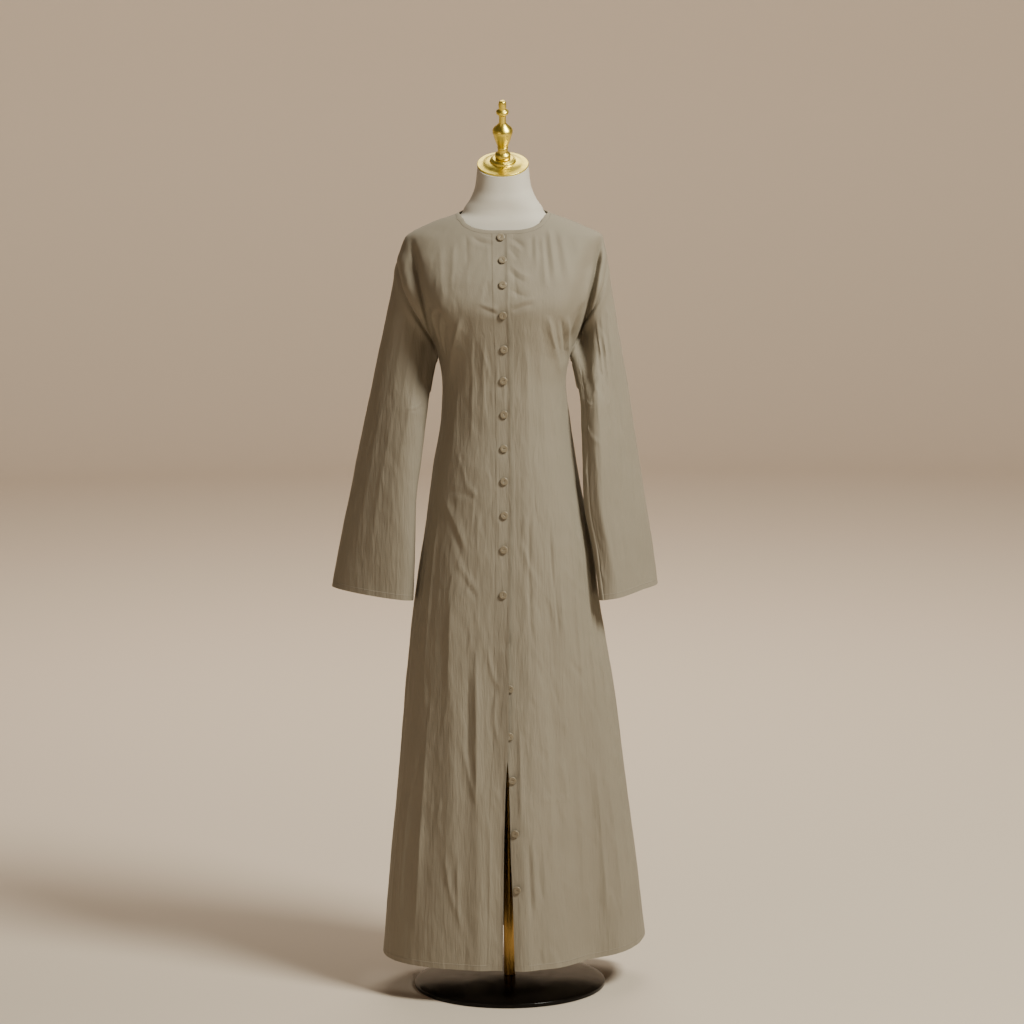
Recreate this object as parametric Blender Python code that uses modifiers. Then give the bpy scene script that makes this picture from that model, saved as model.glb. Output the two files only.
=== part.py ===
"""A long button-front robe on a limbless dress form, which stands on a round base.

Metres, +Z up. The origin is the middle of the base's underside. The front faces -Y,
so the wearer's right side lies at -X and the wearer's left side at +X.
"""

import math

import bpy
import numpy as np
from mathutils import Euler, Matrix, Vector
from mathutils.bvhtree import BVHTree

COLLECTION = "modest_robe_on_dress_form"

# Cloth walls and seams
WALL = 0.0015
SEAM_GAP = 0.0003
BINDING_WALL = 0.0024
UNDER_GAP = 0.0008
ROUNDNESS = 2.3

# Counts of faces along each stretch of a panel
SIDE_ROWS = 18
ARMHOLE_ROWS = 10
FRONT_NECK_COLUMNS = 11
BACK_NECK_COLUMNS = 12
SHOULDER_COLUMNS = 9
CAP_RINGS = 5

# Horizontal sections of the robe's outer face: height, half width at -X and at +X,
# depth in front and behind, and how far the +X side is swept back
ROBE_SECTIONS = {
    "z": (0.060, 0.240, 0.410, 0.590, 0.765, 0.890, 1.020, 1.120, 1.185, 1.236, 1.265,
          1.300, 1.335, 1.380, 1.420, 1.444, 1.467, 1.487, 1.499, 1.514, 1.535),
    "left": (0.2492, 0.2327, 0.2152, 0.1976, 0.1770, 0.1580, 0.1403, 0.1235, 0.1200, 0.1270,
             0.1400, 0.1620, 0.1830, 0.2010, 0.2046, 0.1976, 0.1881, 0.1551, 0.1265, 0.0845, 0.0600),
    "right": (0.2720, 0.2515, 0.2300, 0.2060, 0.1775, 0.1625, 0.1393, 0.1245, 0.1180, 0.1260,
              0.1390, 0.1600, 0.1800, 0.1970, 0.1990, 0.1955, 0.1900, 0.1525, 0.1245, 0.0848, 0.0600),
    "front": (0.1700, 0.1630, 0.1550, 0.1460, 0.1380, 0.1310, 0.1240, 0.1190, 0.1210, 0.1260,
              0.1290, 0.1310, 0.1310, 0.1190, 0.1030, 0.0910, 0.0790, 0.0680, 0.0600, 0.0500, 0.0400),
    "back": (0.1650, 0.1580, 0.1500, 0.1420, 0.1340, 0.1265, 0.1070, 0.0930, 0.0940, 0.0990,
             0.1010, 0.1030, 0.1040, 0.1040, 0.1000, 0.0955, 0.0900, 0.0815, 0.0760, 0.0690, 0.0580),
    "swept": (0.060, 0.045, 0.030, 0.015, 0.005, 0.0, 0.0, 0.0, 0.0, 0.0, 0.0,
              0.0, 0.0, 0.0, 0.0, 0.0, 0.0, 0.0, 0.0, 0.0, 0.0),
}

# The hem's height round the skirt; angles run from the front (0) to +X (90) and the back (180)
HEM = {
    "angle": (-180, -120, -90, -60, 0, 35, 55, 75, 90, 120, 180),
    "z": (0.072, 0.072, 0.0715, 0.0705, 0.0695, 0.069, 0.078, 0.086, 0.089, 0.082, 0.072),
}

# The neckline's height by angle, and how far below it the binding's lower edge lies
NECKLINE = {
    "angle": (0, 8, 18, 28, 40, 65, 90, 120, 150, 180),
    "z": (1.4820, 1.4820, 1.4855, 1.4935, 1.5035, 1.5118, 1.5140, 1.5190, 1.5260, 1.5290),
    "drop": (0.0068, 0.0068, 0.0062, 0.0054, 0.0044, 0.0030, 0.0026, 0.0040, 0.0062, 0.0070),
}

# The armhole from the underarm, over the front, to the shoulder tip: angle and height
ARMHOLE = {
    "angle": (90, 83, 77, 73, 72, 74, 80, 90),
    "z": (1.236, 1.242, 1.260, 1.295, 1.335, 1.378, 1.408, 1.420),
}

# The front edges: x of the upper and the under panel, and how far the upper one stands off
PLACKET = {
    "z": (0.060, 0.200, 0.300, 0.435, 0.512, 0.600, 0.690, 0.780, 0.900, 1.070, 1.260, 1.353, 1.482),
    "upper": (-0.0136, -0.0105, -0.0087, -0.0037, 0.0017, 0.0034, 0.0041, 0.0068, 0.0097, 0.0111,
              0.0098, 0.0077, 0.0069),
    "under": (0.0105, 0.0075, 0.0042, 0.0021, -0.0045, -0.0110, -0.0140, -0.0140, -0.0130, -0.0120,
              -0.0120, -0.0120, -0.0120),
    "lift": (0.0, 0.0, 0.0, 0.0015, 0.0050, 0.0060, 0.0055, 0.0015, 0.0, 0.0, 0.0, 0.0, 0.0),
}
LIFT_WIDTH = 0.030
OVERLAP_START = 0.016
OVERLAP_END = 0.042

# Folds: the face they lie on, x at the top and at the bottom, the heights of both ends,
# half width, and height at the top and at the bottom; a negative height is a valley
FOLDS = (
    # face, x_top, z_top, x_bottom, z_bottom, half_width, height_top, height_bottom
    ("front", -0.178, 1.470, -0.118, 1.215, 0.020, -0.018, -0.026),
    ("front", 0.180, 1.475, 0.116, 1.215, 0.022, -0.022, -0.032),
    ("back", -0.172, 1.460, -0.118, 1.215, 0.024, -0.010, -0.016),
    ("back", 0.170, 1.460, 0.116, 1.215, 0.024, -0.010, -0.016),
    ("front", 0.140, 0.800, 0.178, -0.250, 0.050, -0.004, -0.060),
    ("front", -0.098, 0.950, -0.112, 0.180, 0.020, 0.004, 0.006),
    ("front", -0.052, 0.760, -0.060, -0.100, 0.018, 0.004, 0.006),
    ("front", 0.076, 0.900, 0.100, 0.100, 0.020, -0.003, -0.008),
    ("front", 0.024, 0.520, 0.026, -0.200, 0.024, 0.002, 0.016),
    ("back", -0.150, 0.980, -0.190, -0.200, 0.030, 0.002, 0.026),
    ("back", -0.078, 0.900, -0.100, -0.200, 0.026, -0.002, -0.030),
    ("back", -0.012, 0.960, -0.015, -0.200, 0.030, 0.003, 0.022),
    ("back", 0.060, 0.880, 0.078, -0.200, 0.026, -0.002, -0.030),
    ("back", 0.128, 0.960, 0.168, -0.200, 0.030, 0.002, 0.026),
)
FOLD_FADE = 0.28

# Sleeve rings below the sleeve cap: the outer and inner edge in the front view, the middle's y,
# half depth across the middle, and how far the inner edge is turned to the front
SLEEVE_RINGS = {
    "left": {
        "outer_x": (-0.2640, -0.2820, -0.3015, -0.3218, -0.3405),
        "outer_z": (1.1500, 1.0700, 0.9750, 0.8830, 0.7895),
        "inner_x": (-0.1495, -0.1590, -0.1718, -0.1752, -0.1790),
        "inner_z": (1.1280, 1.0520, 0.9570, 0.8660, 0.7712),
        "middle_y": (-0.004, -0.006, -0.008, -0.008, -0.008),
        "half_depth": (0.046, 0.046, 0.045, 0.044, 0.043),
        "turn": (0.030, 0.034, 0.036, 0.037, 0.037),
    },
    "right": {
        "outer_x": (0.2420, 0.2540, 0.2685, 0.2830, 0.2960),
        "outer_z": (1.1500, 1.0700, 0.9750, 0.8830, 0.7870),
        "inner_x": (0.1445, 0.1462, 0.1490, 0.1650, 0.1780),
        "inner_z": (1.1380, 1.0580, 0.9620, 0.8680, 0.7720),
        "middle_y": (-0.008, -0.012, -0.014, -0.014, -0.014),
        "half_depth": (0.050, 0.050, 0.049, 0.046, 0.042),
        "turn": (0.036, 0.044, 0.050, 0.056, 0.062),
    },
}
SLEEVE_ROUNDNESS = 2.2
CAP_PULL = 0.060
CAP_HANG = 0.085
CAP_FLOW = 0.6

# Sleeve folds: the side, turn round the ring in degrees (0 outer edge, 90 front, 180 inner
# edge, 270 back), first and last share of the length, half width in degrees, and height
SLEEVE_FOLDS = (
    ("left", 138, 0.05, 0.60, 20, -0.008),
    ("left", 250, 0.30, 1.20, 24, -0.006),
    ("right", 140, 0.05, 0.70, 20, -0.009),
    ("right", 60, 0.25, 1.20, 20, -0.005),
    ("right", 262, 0.30, 1.20, 24, -0.006),
)

# Buttons: height, x, and whether the button is fastened
BUTTONS = (
    (1.4680, -0.0050, True), (1.4262, -0.0020, True), (1.3806, -0.0018, True),
    (1.3244, -0.0021, True), (1.2596, -0.0008, True), (1.1994, -0.0022, True),
    (1.1352, -0.0016, True), (1.0705, -0.0024, True), (1.0087, -0.0025, True),
    (0.9442, -0.0025, True), (0.8789, -0.0040, True), (0.7929, -0.0060, True),
    (0.6977, -0.0030, False), (0.6125, 0.0050, False), (0.5212, 0.0037, False),
    (0.4373, 0.0085, False), (0.3356, 0.0132, False), (0.2275, 0.0162, False),
)
BUTTON_RADIUS = 0.0074
BUTTON_HEIGHT = 0.0028
BUTTON_GAP = 0.0004
BUTTON_FOOT = 0.78
BUTTON_SIDES = 12
UNDONE_TILT = math.radians(14)
COVERED_ABOVE = 0.50

# The form: height, half width, depth in front and behind, and the slope of the section
FORM_SECTIONS = {
    "z": (0.800, 0.815, 0.900, 1.000, 1.080, 1.150, 1.200, 1.240, 1.290, 1.335, 1.380, 1.420,
          1.445, 1.460, 1.472, 1.486, 1.499, 1.511, 1.524, 1.540, 1.565, 1.603),
    "width": (0.138, 0.146, 0.150, 0.132, 0.116, 0.108, 0.111, 0.117, 0.136, 0.148, 0.157, 0.163,
              0.165, 0.163, 0.156, 0.136, 0.108, 0.0800, 0.0720, 0.0620, 0.0530, 0.0485),
    "front": (0.095, 0.102, 0.108, 0.103, 0.095, 0.091, 0.099, 0.110, 0.120, 0.123, 0.112, 0.096,
              0.084, 0.076, 0.069, 0.061, 0.0555, 0.0515, 0.0500, 0.0500, 0.0475, 0.0455),
    "back": (0.110, 0.117, 0.121, 0.101, 0.084, 0.077, 0.083, 0.089, 0.094, 0.098, 0.098, 0.094,
             0.088, 0.084, 0.080, 0.075, 0.0695, 0.0640, 0.0580, 0.0525, 0.0480, 0.0455),
    "slope": (0.0, 0.0, 0.0, 0.0, 0.0, 0.0, 0.0, 0.0, 0.0, 0.0, 0.0, 0.0,
              0.0, 0.0, 0.0, 0.0, 0.0, 0.0, 0.05, 0.12, 0.26, 0.488),
}
FORM_SIDES = 24

# The neck cap with its finial, turned shapes along one axis: radius and height
CAP_LEAN = math.radians(26)
CAP_GAP = 0.0003
CAP_PROFILE = (
    (0.0195, 0.0150), (0.0235, 0.0125), (0.0250, 0.0085), (0.0330, 0.0068),
    (0.0400, 0.0045), (0.0485, 0.0030), (0.0490, 0.0022), (0.0484, 0.0000),
)
FINIAL_PROFILE = (
    (0.0050, 0.1350), (0.0072, 0.1310), (0.0075, 0.1240), (0.0068, 0.1180), (0.0118, 0.1125),
    (0.0110, 0.1080), (0.0066, 0.1040), (0.0066, 0.0905), (0.0130, 0.0820), (0.0192, 0.0745),
    (0.0192, 0.0710), (0.0152, 0.0560), (0.0100, 0.0405), (0.0104, 0.0370), (0.0098, 0.0300),
    (0.0138, 0.0250), (0.0150, 0.0210), (0.0140, 0.0153),
)
TURNED_SIDES = 32

# The stand
BASE_PROFILE = (
    (0.0120, 0.0180), (0.1000, 0.0160), (0.1740, 0.0105), (0.1862, 0.0082),
    (0.1875, 0.0064), (0.1875, 0.0016), (0.1862, 0.0000),
)
BASE_SIDES = 64
POLE_RADIUS = 0.01125
STAND_GAP = 0.0003

# Colours are linear red, green and blue, with the roughness and the metallic value
FINISHES = {
    "crepe_cloth": ((0.272, 0.223, 0.162), 0.85, 0.0),
    "button_resin": ((0.230, 0.190, 0.138), 0.40, 0.0),
    "form_cover": ((0.570, 0.545, 0.480), 0.70, 0.0),
    "polished_gold_metal": ((0.620, 0.430, 0.110), 0.18, 1.0),
    "black_gloss_paint": ((0.010, 0.008, 0.006), 0.16, 0.0),
}


def clear_scene():
    for obj in list(bpy.data.objects):
        bpy.data.objects.remove(obj, do_unlink=True)


def finish_of(name):
    if name in bpy.data.materials:
        return bpy.data.materials[name]
    colour, roughness, metallic = FINISHES[name]
    material = bpy.data.materials.new(name)
    material.use_nodes = True
    shader = material.node_tree.nodes["Principled BSDF"]
    shader.inputs["Base Color"].default_value = (*colour, 1.0)
    shader.inputs["Roughness"].default_value = roughness
    shader.inputs["Metallic"].default_value = metallic
    return material


def add_object(name, mesh, finish, collection):
    mesh.materials.clear()
    mesh.materials.append(finish_of(finish))
    obj = bpy.data.objects.new(name, mesh)
    collection.objects.link(obj)
    return obj


def read_table(table, key, column, at):
    """Reads a column at the heights or angles in `at`, along a curve that never overshoots."""
    places = np.asarray(table[key], float)
    values = np.asarray(table[column], float)
    steps = np.diff(places)
    slopes = np.diff(values) / steps
    same_way = slopes[:-1] * slopes[1:] > 0
    total = np.where(same_way, slopes[:-1] + slopes[1:], 1.0)
    inner = np.where(same_way, 2.0 * slopes[:-1] * slopes[1:] / total, 0.0)
    tangents = np.concatenate([[slopes[0]], inner, [slopes[-1]]])
    at = np.clip(at, places[0], places[-1])
    i = np.clip(np.searchsorted(places, at) - 1, 0, len(steps) - 1)
    t = (at - places[i]) / steps[i]
    rise = t * t * (3.0 - 2.0 * t)
    start = t * (1.0 - t) ** 2 * steps[i] * tangents[i]
    end = t * t * (t - 1.0) * steps[i] * tangents[i + 1]
    return values[i] + (values[i + 1] - values[i]) * rise + start + end


def smooth_step(t):
    t = np.clip(t, 0.0, 1.0)
    return t * t * (3.0 - 2.0 * t)


def unit(vectors):
    return vectors / np.linalg.norm(vectors, axis=-1, keepdims=True)


def robe_sizes(side, front, z):
    """The half width and the depth of the section at z, for the side (+X) and face (front) asked."""
    width = np.where(side, read_table(ROBE_SECTIONS, "z", "right", z), read_table(ROBE_SECTIONS, "z", "left", z))
    depth = np.where(front, read_table(ROBE_SECTIONS, "z", "front", z), read_table(ROBE_SECTIONS, "z", "back", z))
    return width, depth


def smooth_robe(angle, z):
    """A point of the robe's outer face without folds: a rounded section at z, in direction angle."""
    turn = np.radians(angle)
    side, front = np.sin(turn), np.cos(turn)
    width, depth = robe_sizes(side > 0, front > 0, z)
    reach = (np.abs(side) ** ROUNDNESS + np.abs(front) ** ROUNDNESS) ** (-1.0 / ROUNDNESS)
    return np.stack([width * reach * side, -depth * reach * front, z + 0.0 * angle], axis=-1)


def angle_at_x(x, z):
    """The direction on the front face whose point lies at x."""
    width, _ = robe_sizes(x > 0, True, z)
    share = x / width
    return np.degrees(np.arctan2(share, (1.0 - np.abs(share) ** ROUNDNESS) ** (1.0 / ROUNDNESS)))


def fold_depth(point, angle):
    """How far the folds move a point of the smooth face outwards along Y."""
    facing = np.cos(np.radians(angle))
    moved = np.zeros_like(facing)
    for face, x_top, z_top, x_bottom, z_bottom, half_width, height_top, height_bottom in FOLDS:
        share = (z_top - point[..., 2]) / (z_top - z_bottom)
        centre = x_top + (x_bottom - x_top) * share
        height = height_top + (height_bottom - height_top) * np.clip(share, 0.0, 1.0)
        ends = smooth_step(share / FOLD_FADE) * smooth_step((1.0 - share) / FOLD_FADE)
        seen = facing if face == "front" else -facing
        across = np.exp(-(((point[..., 0] - centre) / half_width) ** 2))
        moved += height * ends * across * smooth_step(seen / 0.30)
    return moved


def robe_surface(angle, z, panel):
    """A point of the outer face of a panel, with its folds and its place in the front closure."""
    point = smooth_robe(angle, z)
    turn = np.radians(angle)
    point[..., 1] -= np.sign(np.cos(turn)) * fold_depth(point, angle)
    swept = read_table(ROBE_SECTIONS, "z", "swept", z)
    point[..., 1] += swept * np.where(np.sin(turn) > 0, np.sin(turn) ** 2, 0.0)
    in_front = smooth_step(np.cos(turn) / 0.30)
    if panel == "under":
        hidden = 1.0 - smooth_step((point[..., 0] - OVERLAP_START) / (OVERLAP_END - OVERLAP_START))
        point[..., 1] += (WALL + UNDER_GAP) * hidden * in_front
    if panel == "upper":
        edge = read_table(PLACKET, "z", "upper", z)
        near = smooth_step(1.0 - (edge - point[..., 0]) / LIFT_WIDTH)
        point[..., 1] -= read_table(PLACKET, "z", "lift", z) * near * in_front
    return point


def robe_normal(angle, z, panel):
    """The outward normal of a panel's outer face."""
    turn, rise = 0.4, 0.001
    across = robe_surface(angle + turn, z, panel) - robe_surface(angle - turn, z, panel)
    upward = robe_surface(angle, z + rise, panel) - robe_surface(angle, z - rise, panel)
    return unit(np.cross(across, upward))


def spread(angle, z, count):
    """Resamples a curve on the smooth face to count + 1 places, evenly spaced along it."""
    points = smooth_robe(angle, z)
    lengths = np.concatenate([[0.0], np.cumsum(np.linalg.norm(np.diff(points, axis=0), axis=1))])
    places = np.linspace(0.0, lengths[-1], count + 1)
    return np.interp(places, lengths, angle), np.interp(places, lengths, z)


def joined(*curves):
    """One curve from several that meet end to end."""
    angles = [curves[0][0]] + [curve[0][1:] for curve in curves[1:]]
    heights = [curves[0][1]] + [curve[1][1:] for curve in curves[1:]]
    return np.concatenate(angles), np.concatenate(heights)


def neck_edge(angle, drop):
    """The neckline's height at an angle, or with drop the binding's lower edge."""
    height = read_table(NECKLINE, "angle", "z", np.abs(angle))
    return height - (read_table(NECKLINE, "angle", "drop", np.abs(angle)) if drop else 0.0)


def armhole(side, front):
    """The armhole from the underarm to the shoulder tip, as angles and heights."""
    steps = np.linspace(0.0, len(ARMHOLE["z"]) - 1.0, 120)
    table = {"step": tuple(range(len(ARMHOLE["z"]))), **ARMHOLE}
    angle = read_table(table, "step", "angle", steps)
    height = read_table(table, "step", "z", steps)
    angle = angle if front else 180.0 - angle
    return spread(side * angle, height, ARMHOLE_ROWS)


def side_curve(side, front):
    """A panel's side: the side seam from the hem to the underarm, then the armhole."""
    low = read_table(HEM, "angle", "z", np.array(side * 90.0))
    heights = np.linspace(low, ARMHOLE["z"][0], SIDE_ROWS + 1)
    seam = np.full(SIDE_ROWS + 1, side * 90.0), heights
    return joined(seam, armhole(side, front))


def edge_angle(edge_column):
    """Where a front panel's closure edge meets the binding."""
    top = neck_edge(0.0, True)
    return float(angle_at_x(read_table(PLACKET, "z", edge_column, top), top))


def neck_curve(start, end, count):
    """The binding's lower edge between two angles; past 180 they go on round the -X side."""
    angles = np.linspace(start, end, 160)
    return spread(angles, neck_edge(np.where(angles > 180.0, angles - 360.0, angles), True), count)


def shoulder_curve(side):
    """The shoulder seam from the binding to the shoulder tip."""
    heights = np.linspace(neck_edge(90.0, True), ARMHOLE["z"][-1], 60)
    return spread(np.full(60, side * 90.0), heights, SHOULDER_COLUMNS)


def hem_curve(start, end, count):
    angles = np.linspace(start, end, 200)
    return spread(angles, read_table(HEM, "angle", "z", (angles + 180.0) % 360.0 - 180.0), count)


def fill_between(bottom, top, left, right):
    """Fills the patch between four curves, and returns the angle and height of each grid point.

    The rows run from side to side. The hem's curve fades up the side seam, and the curve of the
    shoulder and the neck fades down the armhole.
    """
    u = np.linspace(0.0, 1.0, len(bottom[0]))
    row = np.arange(len(left[0]))[:, None]
    low_share = np.clip(1.0 - row / SIDE_ROWS, 0.0, 1.0)
    high_share = np.clip((row - SIDE_ROWS) / ARMHOLE_ROWS, 0.0, 1.0) ** 2
    grid = []
    for low, high, start, end in zip(bottom, top, left, right):
        low_bulge = low - (1.0 - u) * low[0] - u * low[-1]
        high_bulge = high - (1.0 - u) * high[0] - u * high[-1]
        between = (1.0 - u) * start[:, None] + u * end[:, None]
        grid.append(between + low_share * low_bulge + high_share * high_bulge)
    return tuple(grid)


def front_grid(side, edge_column):
    """Angles and heights of a front panel, from its edge at the closure to its side."""
    heights = side_curve(side, True)[1]
    top_z = neck_edge(0.0, True)
    low = read_table(HEM, "angle", "z", np.array(0.0))
    share = (heights - heights[0]) / (ARMHOLE["z"][-1] - heights[0])
    edge_z = low + (top_z - low) * share
    edge = angle_at_x(read_table(PLACKET, "z", edge_column, edge_z), edge_z), edge_z
    neck = neck_curve(edge_angle(edge_column), side * 90.0, FRONT_NECK_COLUMNS)
    top = joined(neck, shoulder_curve(side))
    bottom = hem_curve(edge[0][0], side * 90.0, FRONT_NECK_COLUMNS + SHOULDER_COLUMNS)
    return fill_between(bottom, top, edge, side_curve(side, True))


def past_the_back(curve):
    """The same curve with its angles counted on past 180 instead of from -180."""
    return curve[0] + 360.0, curve[1]


def back_grid():
    """Angles and heights of the back panel, from its +X side to its -X side."""
    right_shoulder = tuple(values[::-1] for values in shoulder_curve(1))
    left_shoulder = past_the_back(shoulder_curve(-1))
    top = joined(right_shoulder, neck_curve(90.0, 270.0, BACK_NECK_COLUMNS), left_shoulder)
    bottom = hem_curve(90.0, 270.0, BACK_NECK_COLUMNS + 2 * SHOULDER_COLUMNS)
    return fill_between(bottom, top, side_curve(1, False), past_the_back(side_curve(-1, False)))


def inset(outer, normal, seams):
    """How far the named borders of a grid of points are drawn back from their seams."""
    shift = np.zeros_like(outer)
    for seam, border, inside in (("low", 0, 1), ("high", -1, -2)):
        if seam in seams:
            across = unit(np.cross(normal[border], np.gradient(outer[border], axis=0)))
            toward = np.sign(np.sum(across * (outer[inside] - outer[border])))
            shift[border] += 0.5 * SEAM_GAP * toward * across
    for seam, border, inside in (("start", 0, 1), ("end", -1, -2)):
        if seam in seams:
            across = unit(np.cross(normal[:, border], np.gradient(outer[:, border], axis=0)))
            toward = np.sign(np.sum(across * (outer[:, inside] - outer[:, border])))
            shift[:, border] += 0.5 * SEAM_GAP * toward * across
    return shift


def wall_mesh(name, outer, inner, closed=False):
    """A wall between two grids of points. Closed joins the last column to the first."""
    rows, columns = outer.shape[:2]
    points = np.concatenate([outer.reshape(-1, 3), inner.reshape(-1, 3)])
    index = np.arange(rows * columns).reshape(rows, columns)
    if closed:
        index = np.concatenate([index, index[:, :1]], axis=1)
    behind = index + rows * columns
    faces = []

    def add_strip(a, b, c, d):
        faces.extend(np.stack([a, b, c, d], axis=-1).reshape(-1, 4).tolist())

    add_strip(index[:-1, :-1], index[:-1, 1:], index[1:, 1:], index[1:, :-1])
    add_strip(behind[:-1, :-1], behind[1:, :-1], behind[1:, 1:], behind[:-1, 1:])
    add_strip(index[0, 1:], index[0, :-1], behind[0, :-1], behind[0, 1:])
    add_strip(index[-1, :-1], index[-1, 1:], behind[-1, 1:], behind[-1, :-1])
    if not closed:
        add_strip(index[:-1, 0], index[1:, 0], behind[1:, 0], behind[:-1, 0])
        add_strip(index[1:, -1], index[:-1, -1], behind[:-1, -1], behind[1:, -1])
    mesh = bpy.data.meshes.new(name)
    mesh.from_pydata(points.tolist(), [], faces)
    mesh.validate()
    mesh.shade_smooth()
    mesh.set_sharp_from_angle(angle=math.radians(50))
    return mesh


def make_panel(name, grid, panel, seams, collection):
    """One body panel. Its angles grow with the columns, or the panel is turned round."""
    angle, z = grid
    if panel == "upper":
        angle, z = angle[:, ::-1], z[:, ::-1]
    outer = robe_surface(angle, z, panel)
    normal = robe_normal(angle, z, panel)
    shift = inset(outer, normal, seams)
    mesh = wall_mesh(name, outer + shift, outer - WALL * normal + shift)
    return add_object(name, mesh, "crepe_cloth", collection)


def make_body(collection):
    upper = make_panel("front_right", front_grid(-1, "upper"), "upper", ("high", "start"), collection)
    under = make_panel("front_left", front_grid(1, "under"), "under", ("high", "end"), collection)
    make_panel("back", back_grid(), "back", ("high", "start", "end"), collection)
    return upper, under


def binding_surface(angle, z):
    """The outer face at the neck: it starts under the closure and ends over it."""
    whole = (angle + 180.0) % 360.0 - 180.0
    upper = robe_surface(whole, z, "upper")
    under = robe_surface(whole, z, "under")
    starts = angle < 180.0
    return np.where(starts[..., None], under, upper)


def make_binding(collection):
    """The bound neck edge, one strip from the under front round the neck to the upper front."""
    under = neck_curve(edge_angle("under"), 90.0, FRONT_NECK_COLUMNS)
    behind = neck_curve(90.0, 270.0, BACK_NECK_COLUMNS)
    upper = neck_curve(270.0, 360.0 + edge_angle("upper"), FRONT_NECK_COLUMNS)
    angles, low = joined(under, behind, upper)
    high = neck_edge(np.where(angles > 180.0, 360.0 - angles, angles), False)
    rows = np.array([0.0, 0.5, 1.0])[:, None]
    angle = np.repeat(angles[None], 3, axis=0)
    z = low[None] + rows * (high - low)[None]
    outer = binding_surface(angle, z)
    across = binding_surface(angle + 0.4, z) - binding_surface(angle - 0.4, z)
    across[:, np.abs(angles - 180.0) < 0.5] = (-1.0, 0.0, 0.0)
    upward = binding_surface(angle, z + 0.0005) - binding_surface(angle, z - 0.0005)
    normal = unit(np.cross(across, upward))
    shift = inset(outer, normal, ("low",))
    swell = 0.5 * (BINDING_WALL - WALL)
    covers = smooth_step((np.abs(angles - 180.0) - 150.0) / 25.0)[None, :, None]
    outside = outer + (swell * (1.0 - covers)) * normal
    inside = outer - (WALL + swell * (1.0 - covers)) * normal
    mesh = wall_mesh("neck_binding", outside + shift, inside + shift)
    add_object("neck_binding", mesh, "crepe_cloth", collection)


def sleeve_ring(side, at):
    """Points of a sleeve ring by turn in degrees, `at` holding the index of its row."""
    table = {"row": tuple(range(5)), **SLEEVE_RINGS[side]}

    def read(column):
        return float(read_table(table, "row", column, np.array(at)))

    outer = np.array([read("outer_x"), 0.0, read("outer_z")])
    inner = np.array([read("inner_x"), 0.0, read("inner_z")])
    middle = 0.5 * (outer + inner) + np.array([0.0, read("middle_y"), 0.0])
    half = 0.5 * (outer - inner)

    def point(turn):
        along, across = np.cos(np.radians(turn)), np.sin(np.radians(turn))
        reach = (np.abs(along) ** SLEEVE_ROUNDNESS + np.abs(across) ** SLEEVE_ROUNDNESS)
        reach = reach ** (-1.0 / SLEEVE_ROUNDNESS)
        back = read("turn") * along * reach - read("half_depth") * across * reach
        return middle + (along * reach)[:, None] * half + back[:, None] * np.array([0.0, 1.0, 0.0])

    return point


def seam_ring(side):
    """The sleeve's seam, from the shoulder tip over the front to the underarm and back up.

    Returns its points, the directions away from the body and the body's normals.
    """
    panel = "upper" if side < 0 else "under"
    front_angle, front_z = (values[::-1] for values in armhole(side, True))
    back_angle, back_z = armhole(side, False)
    parts = []
    for angle, z, name in ((front_angle, front_z, panel), (back_angle, back_z, "back")):
        parts.append((robe_surface(angle, z, name)[:-1], robe_normal(angle, z, name)[:-1]))
    points = np.concatenate([points for points, _ in parts])
    normals = np.concatenate([normals for _, normals in parts])
    along = np.roll(points, -1, axis=0) - np.roll(points, 1, axis=0)
    return points, side * unit(np.cross(normals, along)), normals


def sleeve_points(side):
    """The sleeve's outer face as rings, from its seam to its hem."""
    name = "left" if side < 0 else "right"
    seam, away, normals = seam_ring(side)
    turns = np.arange(2 * ARMHOLE_ROWS) * 360.0 / (2 * ARMHOLE_ROWS)
    first = sleeve_ring(name, 0.0)(turns)
    down = unit(sleeve_ring(name, 1.0)(turns) - first)
    rings = [seam + 0.5 * SEAM_GAP * away]
    leaving = unit(CAP_FLOW * away + down)
    for share in np.arange(1, CAP_RINGS + 1) / CAP_RINGS:
        a = 2 * share**3 - 3 * share**2 + 1
        b = share**3 - 2 * share**2 + share
        c = share**3 - share**2
        reach = np.linalg.norm(first - seam, axis=1)[:, None]
        pull, hang = np.minimum(reach, CAP_PULL), np.minimum(reach, CAP_HANG)
        rings.append(a * seam + b * pull * leaving + (1 - a) * first + c * hang * down)
    for at in np.arange(0.8, 4.01, 0.8):
        rings.append(sleeve_ring(name, at)(turns))
    opening = smooth_step(np.sum(leaving * normals, axis=1) / 0.3)[:, None]
    return np.stack(rings), turns, normals, opening


def sleeve_normals(points):
    around = np.roll(points, -1, axis=1) - np.roll(points, 1, axis=1)
    along = np.gradient(points, axis=0)
    return unit(np.cross(around, along))


def make_sleeve(side, collection):
    name = "left" if side < 0 else "right"
    points, turns, seam_normals, opening = sleeve_points(side)
    outward = sleeve_normals(points) * side
    share = np.linspace(0.0, 1.0, len(points))[:, None]
    for where, turn, start, end, half_width, height in SLEEVE_FOLDS:
        if where != name:
            continue
        apart = (turns[None] - turn + 180.0) % 360.0 - 180.0
        ends = smooth_step((share - start) / 0.25) * smooth_step((end - share) / 0.25)
        points = points + (height * ends * np.exp(-((apart / half_width) ** 2)))[..., None] * outward
    outward = sleeve_normals(points) * side
    outward[0] = unit(opening * outward[0] + (1.0 - opening) * seam_normals)
    inner = points - WALL * outward
    node = "sleeve_right" if side < 0 else "sleeve_left"
    if side < 0:
        points, inner = points[::-1], inner[::-1]
    add_object(node, wall_mesh(node, points, inner, closed=True), "crepe_cloth", collection)


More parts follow.
